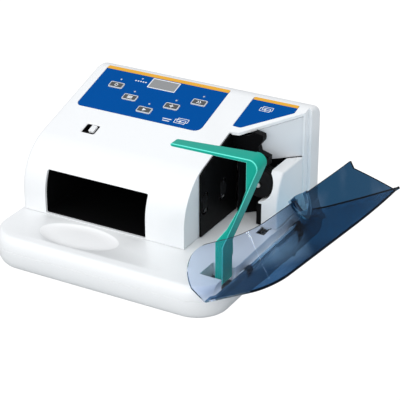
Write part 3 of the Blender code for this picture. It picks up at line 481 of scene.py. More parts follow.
# Near-black painted shade for the dark lines along the cover's fold, free edge and back end.
CLEAR_PAINTED_DARK_EDGE = plastic("clear_blue_painted_dark_edge", (0.002, 0.006, 0.014), 0.4, 0.1, specular=0.05)
RUBBER = rubber_like("black_rubber", (0.005, 0.005, 0.0055), 0.8)
STEEL = brushed("brushed_steel", (0.62, 0.62, 0.6), 0.28)
DARK_STEEL = brushed("motor_steel", (0.36, 0.36, 0.37), 0.34, (2500.0, 60.0, 2500.0))
BRASS = brushed("sintered_brass", (0.75, 0.55, 0.25), 0.34)
NYLON = plastic("pulley_nylon", (0.78, 0.77, 0.72), 0.45, 0.04, 1200.0, 1e-5)
BOARD = circuit("circuit_board")
LAMP = lamp_glow("lamp_lens", (0.62, 0.72, 0.85))
TUBE = lamp_glow("lamp_tube", (0.8, 0.83, 0.92))


# ------------ objects

def add_object(name, data):
    made = bpy.data.objects.new(name, data)
    bpy.context.collection.objects.link(made)
    return made


def mesh_object(name, bm):
    """Object from a mesh in machine millimetres."""
    bmesh.ops.scale(bm, verts=bm.verts, vec=(MM, MM, MM))
    bmesh.ops.translate(bm, verts=bm.verts, vec=ORIGIN)
    return add_object(name, mesh_of(bm, name))


def combine(target, operation, *parts):
    """Boolean each body with the target, in turn."""
    for part in parts:
        tool = mesh_object("tool", part)
        modifier = target.modifiers.new("combine", "BOOLEAN")
        modifier.operation = operation
        modifier.object = tool
        modifier.solver = "EXACT"
        shaped = bpy.data.meshes.new_from_object(target.evaluated_get(bpy.context.evaluated_depsgraph_get()))
        target.modifiers.clear()
        old = target.data
        target.data = shaped
        bpy.data.meshes.remove(old)
        bpy.data.objects.remove(tool)


def cut(target, *parts):
    combine(target, "DIFFERENCE", merged(*parts))


def join(target, *parts):
    combine(target, "UNION", *parts)


def tidy_mesh(made):
    """Weld close points and dissolve the needless edges that cutting left on flat faces."""
    weld = 0.012 * MM
    bm = bmesh.new()
    bm.from_mesh(made.data)
    bmesh.ops.remove_doubles(bm, verts=bm.verts, dist=weld)
    bmesh.ops.dissolve_degenerate(bm, edges=bm.edges, dist=weld)
    bmesh.ops.dissolve_limit(bm, angle_limit=radians(0.4), verts=bm.verts, edges=bm.edges)
    bm.to_mesh(made.data)
    bm.free()


def shade(made, bevel, segments):
    """Smooth shading, with the sharp edges rounded by a small bevel."""
    sharp = radians(32.0)
    made.data.shade_smooth()
    if bevel:
        modifier = made.modifiers.new("edge_round", "BEVEL")
        modifier.width = bevel * MM
        modifier.segments = segments
        modifier.limit_method = "ANGLE"
        modifier.angle_limit = sharp
        modifier.harden_normals = True
        modifier.use_clamp_overlap = True
    else:
        made.data.set_sharp_from_angle(angle=sharp)


def finish(made, material, body="machine", node=None, bevel=0.0, segments=2, clean=True):
    """Material, edges and body of a new piece, and the CAD node it stands for."""
    if clean:
        tidy_mesh(made)
    if material:
        made.data.materials.clear()
        made.data.materials.append(material)
    shade(made, bevel, segments)
    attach(made, body)
    if node:
        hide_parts(node)


def piece(name, bm, material, body="machine", node=None, bevel=0.0):
    finish(mesh_object(name, bm), material, body, node, bevel, clean=False)


def paint(made, material, choose):
    """Give another material to the faces that choose accepts."""
    made.data.materials.append(material)
    for face in made.data.polygons:
        if choose(face):
            face.material_index = len(made.data.materials) - 1


# ------------ profiles

def slope_z(y):
    """Height of the housing's sloping top."""
    foot_y = NOSE_RADIUS * (1 - sin(SLOPE))
    foot_z = NOSE_HEIGHT + NOSE_RADIUS * cos(SLOPE)
    return foot_z + (y - foot_y) * tan(SLOPE)


def housing_profile(inset, nose_steps=40, crown_steps=14):
    """Side outline (y, z) of the housing, moved inwards by inset."""
    slope_deg = degrees(SLOPE)
    nose = arc((NOSE_RADIUS, NOSE_HEIGHT), NOSE_RADIUS - inset, 180, 90 + slope_deg, nose_steps)
    crown_centre = (CROWN_START + 0.5, slope_z(CROWN_START) - CROWN_RADIUS / cos(SLOPE))
    reach = DEPTH - crown_centre[0] - inset
    turns = (radians((90 + slope_deg) * (1 - i / crown_steps)) for i in range(crown_steps + 1))
    crown = [(crown_centre[0] + reach * cos(t), crown_centre[1] + (CROWN_RADIUS - inset) * sin(t))
             for t in turns]
    return [(DEPTH - inset, GAP), (inset, GAP)] + nose + crown


PANEL_MATRIX = Matrix.Translation((0, PANEL_Y, slope_z(PANEL_Y))) @ Matrix.Rotation(SLOPE, 4, "X")


def on_panel(bm):
    """Move a body from the panel's own axes (across, up the slope, outwards) to the machine's."""
    bmesh.ops.transform(bm, matrix=PANEL_MATRIX, verts=bm.verts)
    return bm


def plan(inset_front, inset_side):
    """Plan outline of the base, moved inwards from its widest line."""
    x0, x1 = -BULGE_SIDE + inset_side, WIDTH + BULGE_SIDE - inset_side
    y0, y1 = FRONT + inset_front, DEPTH + BULGE_SIDE - inset_side
    radii = [max(r - inset_side, 2.0) for r in CORNER_RADII]
    corners = [((x0 + radii[0], y0 + radii[0]), radii[0], 180),
               ((x1 - radii[1], y0 + radii[1]), radii[1], 270),
               ((x1 - radii[2], y1 - radii[2]), radii[2], 0),
               ((x0 + radii[3], y1 - radii[3]), radii[3], 90)]
    return [p for centre, radius, turn in corners for p in arc(centre, radius, turn, turn + 90, 18)]


def base_loops(levels):
    """Loops of the base's outline at (height, inset at the front, inset at the sides)."""
    return [[(x, y, z) for x, y in plan(front, side)] for z, front, side in levels]


def label_outline(extra=0.0):
    (x0, y0), (x1, y1) = grown(LABEL_LOW, LABEL_HIGH, extra)
    return round_corners([(x1, y1), (x0, y1), (x0, y0), (x1, y0)], (1.2, 1.2, 5.0, 7.0))


def side_label_outline(extra=0.0):
    top = SIDE_LABEL_TOP + extra
    corners = [(164.0 - extra, top), (163.6 - extra, 37.6 - extra), (171.4, 37.2 - extra),
               (207.8 + extra, 69.6 - extra), (208.0 + extra, top)]
    return round_corners(corners, (1.2, 1.2, 4.0, 3.0, 1.2))


def lamp_places():
    return [(u, v + LAMP_OFFSET) for u, v in KEYS] + [STATUS_LAMP]


def key_corners(key, extra=0.0):
    """Corners of a key's rectangle, moved outwards by extra."""
    (u, v), (width, height) = key, KEY_SIZE
    return grown((u - width / 2, v - height / 2), (u + width / 2, v + height / 2), extra)


def upright_slot(x, width, z_range, y_range):
    """Cutter for a slot with round ends through a wall that faces along y."""
    return prism("y", rounded((x, z_range[0]), (x + width, z_range[1]), width / 2 - 0.01), *y_range)


# ------------ outer shells

def make_housing():
    body = prism("x", housing_profile(0.0), 0.0, WIDTH)
    soften(body, END_RADIUS, 8, lambda e: abs(e.verts[0].co.x - e.verts[1].co.x) < 0.01
           and e.verts[0].co.z + e.verts[1].co.z > 1.0)
    housing = mesh_object("housing_shell", body)
    combine(housing, "DIFFERENCE", housing_core())

    hopper = [(PAST_RIGHT, -20.0), (PAST_RIGHT, GROOVE[1]), GROOVE] + HOPPER_CUT[::-1] + [(HOPPER_X, -20.0)]
    cut(housing, prism("z", hopper, -5.0, PAST_TOP))
    cut(housing, prism("y", rounded(POCKET_LOW, POCKET_HIGH, 1.5), -3.0, 12.0))
    wheel_slots = [box((HOPPER_X - 4, y, 16.0), (HOPPER_X + 2, y + 12, 44.0)) for y in WHEEL_SLOTS]
    back = (DEPTH - 4, DEPTH + 2)
    inlet = prism("y", rounded((4.0, 8.0), (20.6, 21.0), 1.5), *back)
    vents = [upright_slot(VENT_START + VENT_STEP * i, VENT_WIDTH, VENT_Z, back) for i in range(VENTS)]
    cut(housing, *wheel_slots, inlet, *vents)
    cut(housing, on_panel(prism("z", label_outline(GAP), FILM_LOW, 1.0)),
        on_panel(prism("z", side_label_outline(GAP), FILM_LOW, 1.0)))
    keys = []
    for key in KEYS:
        low, high = key_corners(key, 0.4)
        keys.append(on_panel(box((*low, -4.0), (*high, 3.0))))
    cut(housing, *keys)
    flare = [[(*p, z) for p in rounded(*grown(SWITCH_LOW, SWITCH_HIGH, out), 1.2 + out)]
             for out, z in ((0.0, -6.0), (0.0, -0.7), (0.9, 0.0), (2.2, 1.2))]
    cut(housing, on_panel(loft(flare)))
    finish(housing, WHITE, node="upper_housing", bevel=0.5)


def housing_core():
    """The housing's hollow, which stays clear of the hopper and runs out through the open bottom."""
    core = mesh_object("housing_core", prism("x", housing_profile(WALL, 24, 8), WALL, WIDTH - WALL))
    hopper_front = box((HOPPER_X - WALL, -20.0, -20.0), (PAST_RIGHT, HOPPER_CUT[0][1] - 0.1, PAST_TOP))
    x, y = HOPPER_CUT[2]
    post = box((x - 1.3, y - 3, -20.0), (PAST_RIGHT, GROOVE[1] + WALL, PAST_TOP))
    cut(core, hopper_front, post)
    hollow = bmesh.new()
    hollow.from_mesh(core.data)
    bmesh.ops.translate(hollow, verts=hollow.verts, vec=-ORIGIN)
    bmesh.ops.scale(hollow, verts=hollow.verts, vec=(1 / MM, 1 / MM, 1 / MM))
    bpy.data.objects.remove(core)
    for vert in hollow.verts:
        if vert.co.z < GAP + 0.01:
            vert.co.z -= 1.0
    return hollow


def make_deck():
    levels = [(SPLIT_Z - SPLIT_Z * sin(t), BULGE_FRONT * (1 - cos(t)), BULGE_SIDE * (1 - cos(t)))
              for t in quarter_turn(12)]
    deck = mesh_object("deck_shell", loft(base_loops(levels)))
    dish = []
    for scale, z in ((0.55, -2.0), (0.72, -1.75), (0.86, -1.2), (0.96, -0.45), (1.0, 0.0), (1.05, 0.8)):
        turns = [radians(5 * i) for i in range(72)]
        dish.append([(DISH_CENTRE[0] + DISH_HALF[0] * scale * cos(t),
                      DISH_CENTRE[1] + DISH_HALF[1] * scale * sin(t), z) for t in turns])
    cut(deck, loft(dish))
    cut(deck, *(box((*low, SPLIT_Z - 2), (*high, 2.0)) for low, high in DECK_OPENINGS))
    cut(deck, box((WIDTH - 3.1, FRONT - 5, SPLIT_Z + 1), (WIDTH + 8, COVER_BACK + 1, 4.0)))
    lugs = []
    for middle in KNUCKLES:
        for low, high in ((middle - 11, middle - 5), (middle + 5, middle + 11)):
            outline = [(HINGE[0] - KNUCKLE_RADIUS, SPLIT_Z), (HINGE[0] + 1.5, SPLIT_Z)]
            outline += arc(HINGE, KNUCKLE_RADIUS, 0, 180, 16)
            lugs.append(prism("y", outline, low, high))
    join(deck, *lugs)
    finish(deck, WHITE, node="base_deck", bevel=0.35)
    # The dish's upward faces get the whiter plastic as a painted highlight.
    paint(deck, DISH_PAINTED_HIGHLIGHT, is_in_dish)


def is_in_dish(face):
    """Whether a face of the deck is in the oval finger recess."""
    middle = machine_point(face.center)
    share = hypot((middle.x - DISH_CENTRE[0]) / DISH_HALF[0], (middle.y - DISH_CENTRE[1]) / DISH_HALF[1])
    return share < 1.0 and -3.0 < middle.z < -0.02 and face.normal.z > 0.3


def make_tray():
    rim_z = SPLIT_Z - GAP
    widest_z = rim_z - 0.4
    levels = [(rim_z, 0.35, 0.35), (widest_z, 0.0, 0.0)]
    levels += [(widest_z + (TRAY_BOTTOM - rim_z + 0.4) * sin(t), 9.0 * (1 - cos(t)),
                6.0 * (1 - cos(t))) for t in quarter_turn(12)[1:]]
    tray = mesh_object("tray_shell", loft(base_loops(levels)))
    tub = [(TRAY_BOTTOM + WALL, 12.0, 9.0), (TRAY_BOTTOM + 6, 6.5, 5.0), (SPLIT_Z + 1, WALL, WALL)]
    cut(tray, loft(base_loops(tub)))
    well_low, well_high = TRAY_BOTTOM - 1.0, TRAY_BOTTOM + 2.0
    well = [(0.01, well_high), (4.0, well_high), (4.6, well_low), (0.01, well_low)]
    cut(tray, *(turned("z", spot, well, 32) for spot in SCREW_PLACES))
    finish(tray, WHITE, node="base_tray", bevel=0.3)


def make_screws():
    """Cross-head screws that hold the tray to the deck, sunk in their wells."""
    level = TRAY_BOTTOM + 0.4
    head = [(0.4, level + 1.5), (3.0, level + 1.5), (3.1, level + 0.9), (2.7, level + 0.3), (1.8, level),
            (0.4, level)]
    screws = mesh_object("tray_screws", merged(*(turned("z", spot, head, 32) for spot in SCREW_PLACES)))
    low = TRAY_BOTTOM + 0.2
    for x, y in SCREW_PLACES:
        for half_x, half_y in ((1.6, 0.3), (0.3, 1.6)):
            slit = box((x - half_x, y - half_y, low), (x + half_x, y + half_y, low + 0.9))
            combine(screws, "DIFFERENCE", slit)
    finish(screws, STEEL, bevel=0.06)


def make_feet():
    for side in ("left", "right"):
        for end in ("front", "back"):
            low, high = node_box(f"foot_{end}_{side}")
            centre = ((low.x + high.x) / 2, (low.y + high.y) / 2)
            radius = (high.x - low.x) / 2
            profile = [(1.5, low.z + 1.2), (2.4, low.z + 0.5), (4.2, low.z), (radius - 1.4, low.z)]
            profile += arc((radius - 1.0, low.z + 1.0), 1.0, 290, 360, 5)
            profile += [(radius, high.z - 0.2), (radius - 0.3, high.z), (1.5, high.z)]
            piece(f"rubber_foot_{end}_{side}", turned("z", centre, profile, 48), RUBBER,
                  node=f"foot_{end}_{side}")


def make_pocket():
    """Black liner of the outlet, with its two slots for the stacker wheels."""
    skin = 1.5
    (x0, z0), (x1, z1) = POCKET_LOW, POCKET_HIGH
    outer = rounded((x0 - skin, GAP), (x1 + skin + 1, z1 + skin), 2.0)
    inner = rounded((x0, z0 + 0.8), (x1 + 1, z1), 1.2)
    liner = mesh_object("outlet_liner", prism("y", outer, WALL + GAP, POCKET_BACK + skin))
    cut(liner, prism("y", inner, 0.0, POCKET_BACK))
    front = arc((NOSE_RADIUS, NOSE_HEIGHT), NOSE_RADIUS - WALL - GAP, 180, 110, 24)
    front = [(-9.0, -5.0), (WALL + GAP - 0.01, -5.0)] + front + [(front[-1][0], 80.0), (-9.0, 80.0)]
    cut(liner, prism("x", front, x0 - 5, x1 + 8))
    cut(liner, *(box((x1 - 2, y - 5, 3.0), (x1 + 6, y + 5, 27.0)) for y in STACKER_SLOTS))
    finish(liner, DEEP_BLACK, node="outlet_pocket", bevel=0.3)


# ------------ control panel

def ring_cap(low, high, radius, levels, rim_levels):
    """Cap built from rounded outlines at (height, inset); faces up to rim_levels rings keep material 0."""
    bm = bmesh.new()
    rows = [[bm.verts.new((*p, z)) for p in rounded(*grown(low, high, -inset), max(radius - inset, 0.25), 5)]
            for z, inset in levels]
    for number, (first, second) in enumerate(zip(rows, rows[1:])):
        for face in band(bm, first, second):
            face.material_index = 0 if number < rim_levels else 1
    bm.faces.new(rows[0])
    bm.faces.new(rows[-1]).material_index = 1
    bmesh.ops.recalc_face_normals(bm, faces=bm.faces)
    return bm


def frame_ring(low, high, radius, width, z_low, z_high):
    """Flat frame: the band between a rounded rectangle and the same one moved inwards."""
    outer = rounded(low, high, radius, 5)
    inner = rounded(*grown(low, high, -width), max(radius - width, 0.2), 5)
    bm = bmesh.new()
    rings = [[bm.verts.new((*p, z)) for p in outline]
             for outline, z in ((outer, z_low), (outer, z_high), (inner, z_high), (inner, z_low))]
    tube(bm, rings, closed=True)
    bmesh.ops.recalc_face_normals(bm, faces=bm.faces)
    return bm


def printed(outline):
    """Printed area on a label's film."""
    return prism("z", outline, *PRINT_Z)


def bar(centre, length, width):
    """Rectangle outline of the given length and width about a centre."""
    u, v = centre
    return [(u - length / 2, v - width / 2), (u + length / 2, v - width / 2), (u + length / 2, v + width / 2),
            (u - length / 2, v + width / 2)]


def note_symbol(centre, size):
    """Generic sign for a stack of notes: two outlined slips and a disc."""
    u, v = centre
    parts = []
    for step in (0.0, 1.0):
        low = (u - size + step * size * 0.3, v - size * 0.5 + step * size * 0.32)
        high = (low[0] + size * 1.7, low[1] + size * 0.8)
        parts.append(frame_ring(low, high, size * 0.08, size * 0.09, *PRINT_Z))
    parts.append(printed(circle((u - size * 0.15, v - size * 0.1), size * 0.2, 20)))
    return parts


def make_labels():
    film = mesh_object("control_film", on_panel(prism("z", label_outline(), FILM_LOW, FILM_TOP)))
    holes = [prism("z", rounded(*key_corners(key, 0.2), 1.6), -2.0, 2.0) for key in KEYS]
    holes.append(prism("z", rounded(DISPLAY_LOW, DISPLAY_HIGH, 0.8), -2.0, 2.0))
    holes += [rod("z", spot, 1.1, -2.0, 2.0, 24) for spot in lamp_places()]
    cut(film, *(on_panel(hole) for hole in holes))
    finish(film, BLUE, node="control_label")
    side_film = mesh_object("side_film", on_panel(prism("z", side_label_outline(), FILM_LOW, FILM_TOP)))
    finish(side_film, BLUE, node="side_label")


def make_prints():
    """Stripes and generic marks printed on the two labels."""
    (x0, _), (x1, y1) = LABEL_LOW, LABEL_HIGH
    stripe = round_corners([(x0, STRIPE_LOW), (x1, STRIPE_LOW), (x1, y1), (x0, y1)], (0.0, 0.8, 1.2, 1.2))
    x0, x1 = SIDE_STRIPE_X
    y0, y1 = SIDE_STRIPE_LOW, SIDE_LABEL_TOP
    side = round_corners([(x0, y0), (x1, y0), (x1, y1), (x0, y1)], (0.0, 0.0, 1.2, 1.2))
    piece("label_stripe", on_panel(printed(stripe)), YELLOW)
    piece("side_label_stripe", on_panel(printed(side)), YELLOW)

    marks = note_symbol((117.0, 28.6), 6.5)
    marks += [printed(bar((103.0, 28.0 - 2.6 * row), 9.0 - 2.0 * row, 1.0)) for row in range(2)]
    marks += [printed(bar((53.0 + 2.6 * i, 68.6), 1.5, 1.4)) for i in range(-2, 3)]
    piece("control_print", on_panel(merged(*marks)), PRINT_WHITE)
    piece("side_print", on_panel(merged(*note_symbol((182.0, 66.5), 6.0))), PRINT_WHITE)


def raised(outline):
    """Thin sign that stands a little above a key's face."""
    return prism("z", outline, *SIGN_Z)


def key_symbols():
    """A generic sign for each key, about its own centre: ring, bars, triangle, plus and chevrons."""
    ring = [frame_ring((-1.7, -1.7), (1.7, 1.7), 1.69, 0.6, *SIGN_Z)]
    bars = [raised(bar((0.0, v), 5.0, 0.8)) for v in (-1.2, 0.0, 1.2)]
    triangle = [raised([(-1.6, -1.7), (2.0, 0.0), (-1.6, 1.7)])]
    plus = [raised(bar((0.0, 0.0), 3.8, 0.9)), raised(bar((0.0, 0.0), 0.9, 3.8))]
    chevrons = [raised([(u, -1.7), (u + 0.9, -1.7), (u + 2.3, 0.0), (u + 0.9, 1.7), (u, 1.7), (u + 1.4, 0.0)])
                for u in (-2.4, -0.2)]
    return [ring, bars, triangle, plus, chevrons]


def make_keys():
    levels = ((-3.0, 0.0), (0.55, 0.0), (0.85, 0.15), (1.0, 0.45), (1.0, 0.75), (0.8, 0.95), (0.8, 1.4))
    for number, (key, symbol) in enumerate(zip(KEYS, key_symbols()), 1):
        body = f"key_{number}_body"
        cap = mesh_object(f"key_cap_{number}", on_panel(ring_cap(*key_corners(key), 1.4, levels, 5)))
        finish(cap, None, body, f"key_{number}", clean=False)
        cap.data.materials.append(KEY_RIM)
        cap.data.materials.append(KEY_GREY)
        sign = merged(*symbol)
        bmesh.ops.translate(sign, verts=sign.verts, vec=(*key, 0.0))
        piece(f"key_sign_{number}", on_panel(sign), PRINT_WHITE, body)


def make_display():
    levels = ((-1.2, 0.0), (0.35, 0.0), (0.45, 0.12), (0.45, 0.8), (0.3, 0.95), (0.25, 1.2))
    window = mesh_object("display_pane", on_panel(ring_cap(DISPLAY_LOW, DISPLAY_HIGH, 0.8, levels, 4)))
    finish(window, None, "machine", "display_window", clean=False)
    window.data.materials.append(PRINT_WHITE)
    window.data.materials.append(LCD)


def make_lamps():
    dome = [(0.02, -0.2), (0.95, -0.2), (0.95, 0.2), (0.8, 0.34), (0.5, 0.44), (0.02, 0.48)]
    domes = [on_panel(turned("z", spot, dome, 20)) for spot in lamp_places()]
    piece("lamp_lenses", merged(*domes), LAMP, node="indicator_lights")


def make_switch():
    (x0, y0), (x1, y1) = SWITCH_LOW, SWITCH_HIGH
    well = prism("z", rounded(*grown(SWITCH_LOW, SWITCH_HIGH, -GAP), 0.9), -5.0, -0.8)
    bezel = mesh_object("switch_well", on_panel(well))
    cut(bezel, on_panel(prism("z", rounded((x0 + 1.2, y0 + 1.6), (x1 - 1.2, y1 - 1.6), 0.6), -4.0, 1.0)))
    finish(bezel, BLACK, node="switch_bezel", bevel=0.15)

    knob_low, knob_high = (x1 - 6.6, y0 + 2.0), (x1 - 1.6, y1 - 2.0)
    knob = mesh_object("switch_knob", on_panel(prism("z", rounded(knob_low, knob_high, 0.6), -3.6, 1.0)))
    grips = [on_panel(box((knob_low[0] + 1.3 + 1.2 * i, knob_low[1] - 1, 0.72),
                          (knob_low[0] + 1.7 + 1.2 * i, knob_high[1] + 1, 2.0))) for i in range(3)]
    cut(knob, *grips)
    finish(knob, WHITE, "power_switch", "switch_slider", bevel=0.18)


# ------------ hopper

HOPPER_ALONG = (Vector(HOPPER_CUT[2]) - Vector(HOPPER_CUT[1])).normalized()
HOPPER_OUT = Vector((-HOPPER_ALONG.y, HOPPER_ALONG.x))
HOPPER_START = Vector(HOPPER_CUT[1]) + HOPPER_OUT * 0.6
HOPPER_END = Vector(HOPPER_CUT[2]) + HOPPER_OUT * 0.6 - HOPPER_ALONG * 2.5


def slab(start, end, z_low, z_high):
    """Upright panel 2 mm thick behind a line along the hopper's diagonal."""
    outline = [start, end, end + HOPPER_OUT * 2, start + HOPPER_OUT * 2]
    return prism("z", [tuple(p) for p in outline], z_low, z_high)


def make_hopper_wall():
    wall = mesh_object("diagonal_wall", slab(HOPPER_START, HOPPER_END + HOPPER_ALONG * 1.6, 50.2, 93.0))
    under_top = [(40.0, slope_z(40.0) - 3.3), (150.0, slope_z(150.0) - 3.3), (150.0, PAST_TOP),
                 (40.0, PAST_TOP)]
    cut(wall, prism("x", under_top, 160.0, 225.0))
    cut(wall, box((150.0, 60.0, 40.0), (184.5, 100.0, 100.0)))
    finish(wall, PALE_GREY, node="hopper_wall", bevel=0.3)


def make_ledge():
    """White block under the diagonal wall, hollowed round the feed roller."""
    (y0, y1), shoulder = LEDGE_Y, 48.7
    side = [(y1, GAP), (y0, GAP)] + arc((y0 + shoulder, LEDGE_Z - 32), shoulder, 180, 138.9, 24)
    side.append((y1, LEDGE_Z))
    block = soften(prism("x", side, *LEDGE_X), 2.0, 6,
                   lambda e: min(e.verts[0].co.x, e.verts[1].co.x) > LEDGE_X[1] - 0.1)
    ledge = mesh_object("feed_ledge", block)
    cut(ledge, rod("y", FEED, FEED_RADIUS + 1.2, 60.0, 130.0, 72))
    far_end = HOPPER_END + HOPPER_ALONG * 3.5
    behind = [(150.0, 60.0), (HOPPER_START.x, HOPPER_START.y - 1.5), (far_end.x, far_end.y - 1.5),
              (230.0, 122.0), (230.0, PAST_HOPPER), (150.0, PAST_HOPPER)]
    cut(ledge, prism("z", behind, -5.0, 60.0))
    cut(ledge, box((190.0, 76.0, 3.0), (213.5, 106.0, 20.0)))
    cut(ledge, box((190.0, 60.0, 45.0), (205.6, 130.0, 60.0)))
    cut(ledge, box((190.0, 60.0, -1.0), (201.6, 130.0, 21.5)))
    finish(ledge, WHITE, node="hopper_ledge", bevel=0.9, segments=4)


def make_chute():
    chute = mesh_object("feed_guide", slab(HOPPER_START - HOPPER_ALONG * 0.2, HOPPER_END, 0.6, 50.0))
    cut(chute, rod("y", FEED, 4.5, 60.0, PAST_HOPPER, 32), box((206.0, 100.0, -1.0), (225.0, 130.0, 60.0)))
    finish(chute, BLACK, node="feed_chute", bevel=0.3)


def make_feed_plate():
    plate = mesh_object("gate_plate", box((196.2, 72.0, 0.6), (201.2, 95.0, 21.2)))
    cut(plate, *(box((195.0, 75.0 + 4.5 * i, 3.0), (197.0, 77.0 + 4.5 * i, 23.0)) for i in range(4)))
    finish(plate, BLACK, node="feed_plate", bevel=0.25)


def make_separator():
    """Black bracket: a jaw over the feed roller, and the hopper's left panel with the wheel openings."""
    jaw = [(166.0, 64.0), (181.0, 62.0), (186.5, 56.0), (190.0, 52.2), (201.0, 52.2), (201.0, 60.5),
           (192.0, 63.0), (190.8, 68.0), (195.0, 73.5), (195.5, 76.0), (195.0, 79.4), (186.5, 80.8),
           (184.0, 78.0), (181.0, 76.6), (166.0, 73.8)]
    bracket = mesh_object("separator_arm", prism("y", jaw, 84.0, 91.2))
    panel = [(26.0, 0.6), (90.6, 0.6), (90.6, slope_z(90.6) - 3.4), (80.2, slope_z(80.2) - 3.4),
             (80.2, slope_z(80.2) - 1.0), (33.6, slope_z(33.6) - 1.0), (26.0, slope_z(26.0) - 2.2)]
    join(bracket, prism("x", panel, HOPPER_X + GAP, HOPPER_X + 2))
    cut(bracket, rod("y", RETARD, 1.6, 70.0, 100.0, 32))
    openings = [rounded((y + 0.8, 20.5), (y + 11.2, 39.5), 1.5) for y in WHEEL_SLOTS]
    cut(bracket, *(prism("x", opening, HOPPER_X - 2, HOPPER_X + 4) for opening in openings))
    finish(bracket, BLACK, node="separator_bracket", bevel=0.5, segments=3)


def make_sensor():
    low, high = node_box("note_sensor")
    shell = prism("z", rounded((low.x, low.y), (high.x, high.y), 1.2), low.z, high.z)
    sensor = mesh_object("note_sensor_body", shell)
    cut(sensor, box((low.x + 2.0, low.y + 3.0, high.z - 1.2), (high.x - 2.0, low.y + 11.0, high.z + 1.0)))
    finish(sensor, BLACK, node="note_sensor", bevel=0.25)
    lens = prism("z", rounded((low.x + 1.6, low.y + 12.5), (high.x - 1.6, high.y - 1.6), 0.5), high.z - 0.4,
                 high.z + 0.25)
    piece("note_sensor_lens", lens, PRINT_WHITE, bevel=0.12)


# ------------ moving pieces

def cover_top(y):
    """Height of the closed cover's top, on its straight stretch."""
    start_y = COVER_NOSE[0] - COVER_NOSE_RADIUS * sin(COVER_RISE)
    start_z = COVER_NOSE[1] + COVER_NOSE_RADIUS * cos(COVER_RISE)
    return start_z + (y - start_y) * tan(COVER_RISE)


def cover_profile(inset):
    """Side outline (y, z) of the closed cover."""
    lean, rise = degrees(COVER_LEAN), degrees(COVER_RISE)
    nose = arc(COVER_NOSE, COVER_NOSE_RADIUS - inset, 180 + lean, 90 + rise, 28)
    crown = arc((COVER_BACK, COVER_TOP - COVER_CROWN_RADIUS), COVER_CROWN_RADIUS - inset, 90 + rise, 90, 16)
    foot_y = nose[0][0] + (nose[0][1] - COVER_LOW_Z) * tan(COVER_LEAN)
    return [(COVER_BACK, COVER_LOW_Z), (foot_y, COVER_LOW_Z)] + nose + crown


def cover_shell():
    """Bent shell of the closed cover, cut to the hopper's diagonal and to the deck."""
    block = prism("x", cover_profile(0.0), COVER_INNER_X, COVER_OUTER_X)
    soften(block, 3.0, 8, lambda e: min(v.co.x for v in e.verts) > COVER_OUTER_X - 0.01
           and e.verts[0].co.z + e.verts[1].co.z > 2 * COVER_LOW_Z + 1
           and max(v.co.y for v in e.verts) < COVER_BACK - 0.01)
    cover = mesh_object("cover_shell", block)
    inner = prism("x", cover_profile(COVER_SKIN), COVER_INNER_X - 5, COVER_OUTER_X - COVER_SKIN)
    for vert in inner.verts:
        if vert.co.z < COVER_LOW_Z + 0.01:
            vert.co.z -= 5
        if vert.co.y > COVER_BACK - 0.01:
            vert.co.y += 5
    cut(cover, inner)
    (x1, y1), (x2, y2) = COVER_FLANGE_END
    behind = [(x1 - 15, y1 - 0.6), (x1, y1), (x2, y2), (x2, PAST_HOPPER), (x1 - 15, PAST_HOPPER)]
    cut(cover, prism("z", behind, -20.0, 120.0))
    corner = 33.0
    foot_centre = (COVER_INNER_X + corner, COVER_LOW_Z + corner)
    foot = [(COVER_INNER_X - 5, foot_centre[1])] + arc(foot_centre, corner, 180, 270, 40)
    foot += [(COVER_OUTER_X + 2, -7.5), (COVER_OUTER_X + 2, -40.0), (COVER_INNER_X - 5, -40.0)]
    cut(cover, prism("y", foot, COVER_FRONT - 5, COVER_FRONT + 30))
    cut(cover, box((190.0, COVER_FRONT + 11.7, -45.0), (230.0, 145.0, COVER_SIDE_LOW)))
    return cover


def half_bowl(edge_x, reach, levels):
    """Half bowl that is open towards the cover's free edge, through (share of its radius, height) levels."""
    top = cover_top(DIMPLE_Y)
    turns = [radians(180 * i / 32) for i in range(33)]
    loops = []
    for share, z in levels:
        radius = share * DIMPLE_RADIUS
        loops.append([(edge_x + radius * sin(t) * reach, DIMPLE_Y - radius * cos(t), top + z) for t in turns])
    return loft(loops)


def make_cover():
    """Clear hinged cover, drawn closed and then turned open about its hinge."""
    cover = cover_shell()
    cup = ((0.45, -8.6), (0.62, -7.4), (0.74, -5.4), (0.82, -2.6), (1.0, -1.6), (1.0, 0.6))
    hollow = ((0.3, -7.4), (0.46, -6.4), (0.58, -4.6), (0.66, -1.8), (0.7, 3.0))
    join(cover, half_bowl(COVER_INNER_X - 0.6, DIMPLE_REACH, cup))
    cut(cover, half_bowl(COVER_INNER_X - 2, DIMPLE_REACH + 0.1, hollow))
    for middle in KNUCKLES:
        barrel = arc(HINGE, KNUCKLE_RADIUS, -180, 90, 24)
        barrel += [(HINGE[0] - 1.0, -2.0), (COVER_OUTER_X - 2.0, -2.0)]
        join(cover, prism("y", barrel, middle - 4.6, middle + 4.6))
    cut(cover, *(rod("y", HINGE, 1.5, middle - 12, middle + 12, 24) for middle in KNUCKLES))
    edges = {face.index for face in cover.data.polygons if is_cover_edge(face)}
    sides = {face.index for face in cover.data.polygons if is_cover_side(face) or is_recess_wall(face)}
    turn_open(cover)
    finish(cover, CLEAR, "cover", "clear_cover", bevel=0.25, clean=False)
    # Fold, free edge and back end get painted dark edge lines.
    paint(cover, CLEAR_PAINTED_DARK_EDGE, lambda face: face.index in edges)
    # Side wall and recess wall get the copy with painted shade.
    paint(cover, CLEAR_SIDE_PAINTED_SHADE, lambda face: face.index in sides)


def is_cover_side(face):
    """Whether a face of the closed cover is on its outer side wall."""
    return abs(face.normal.x) > 0.9 and machine_point(face.center).x > COVER_OUTER_X - COVER_SKIN - 0.1


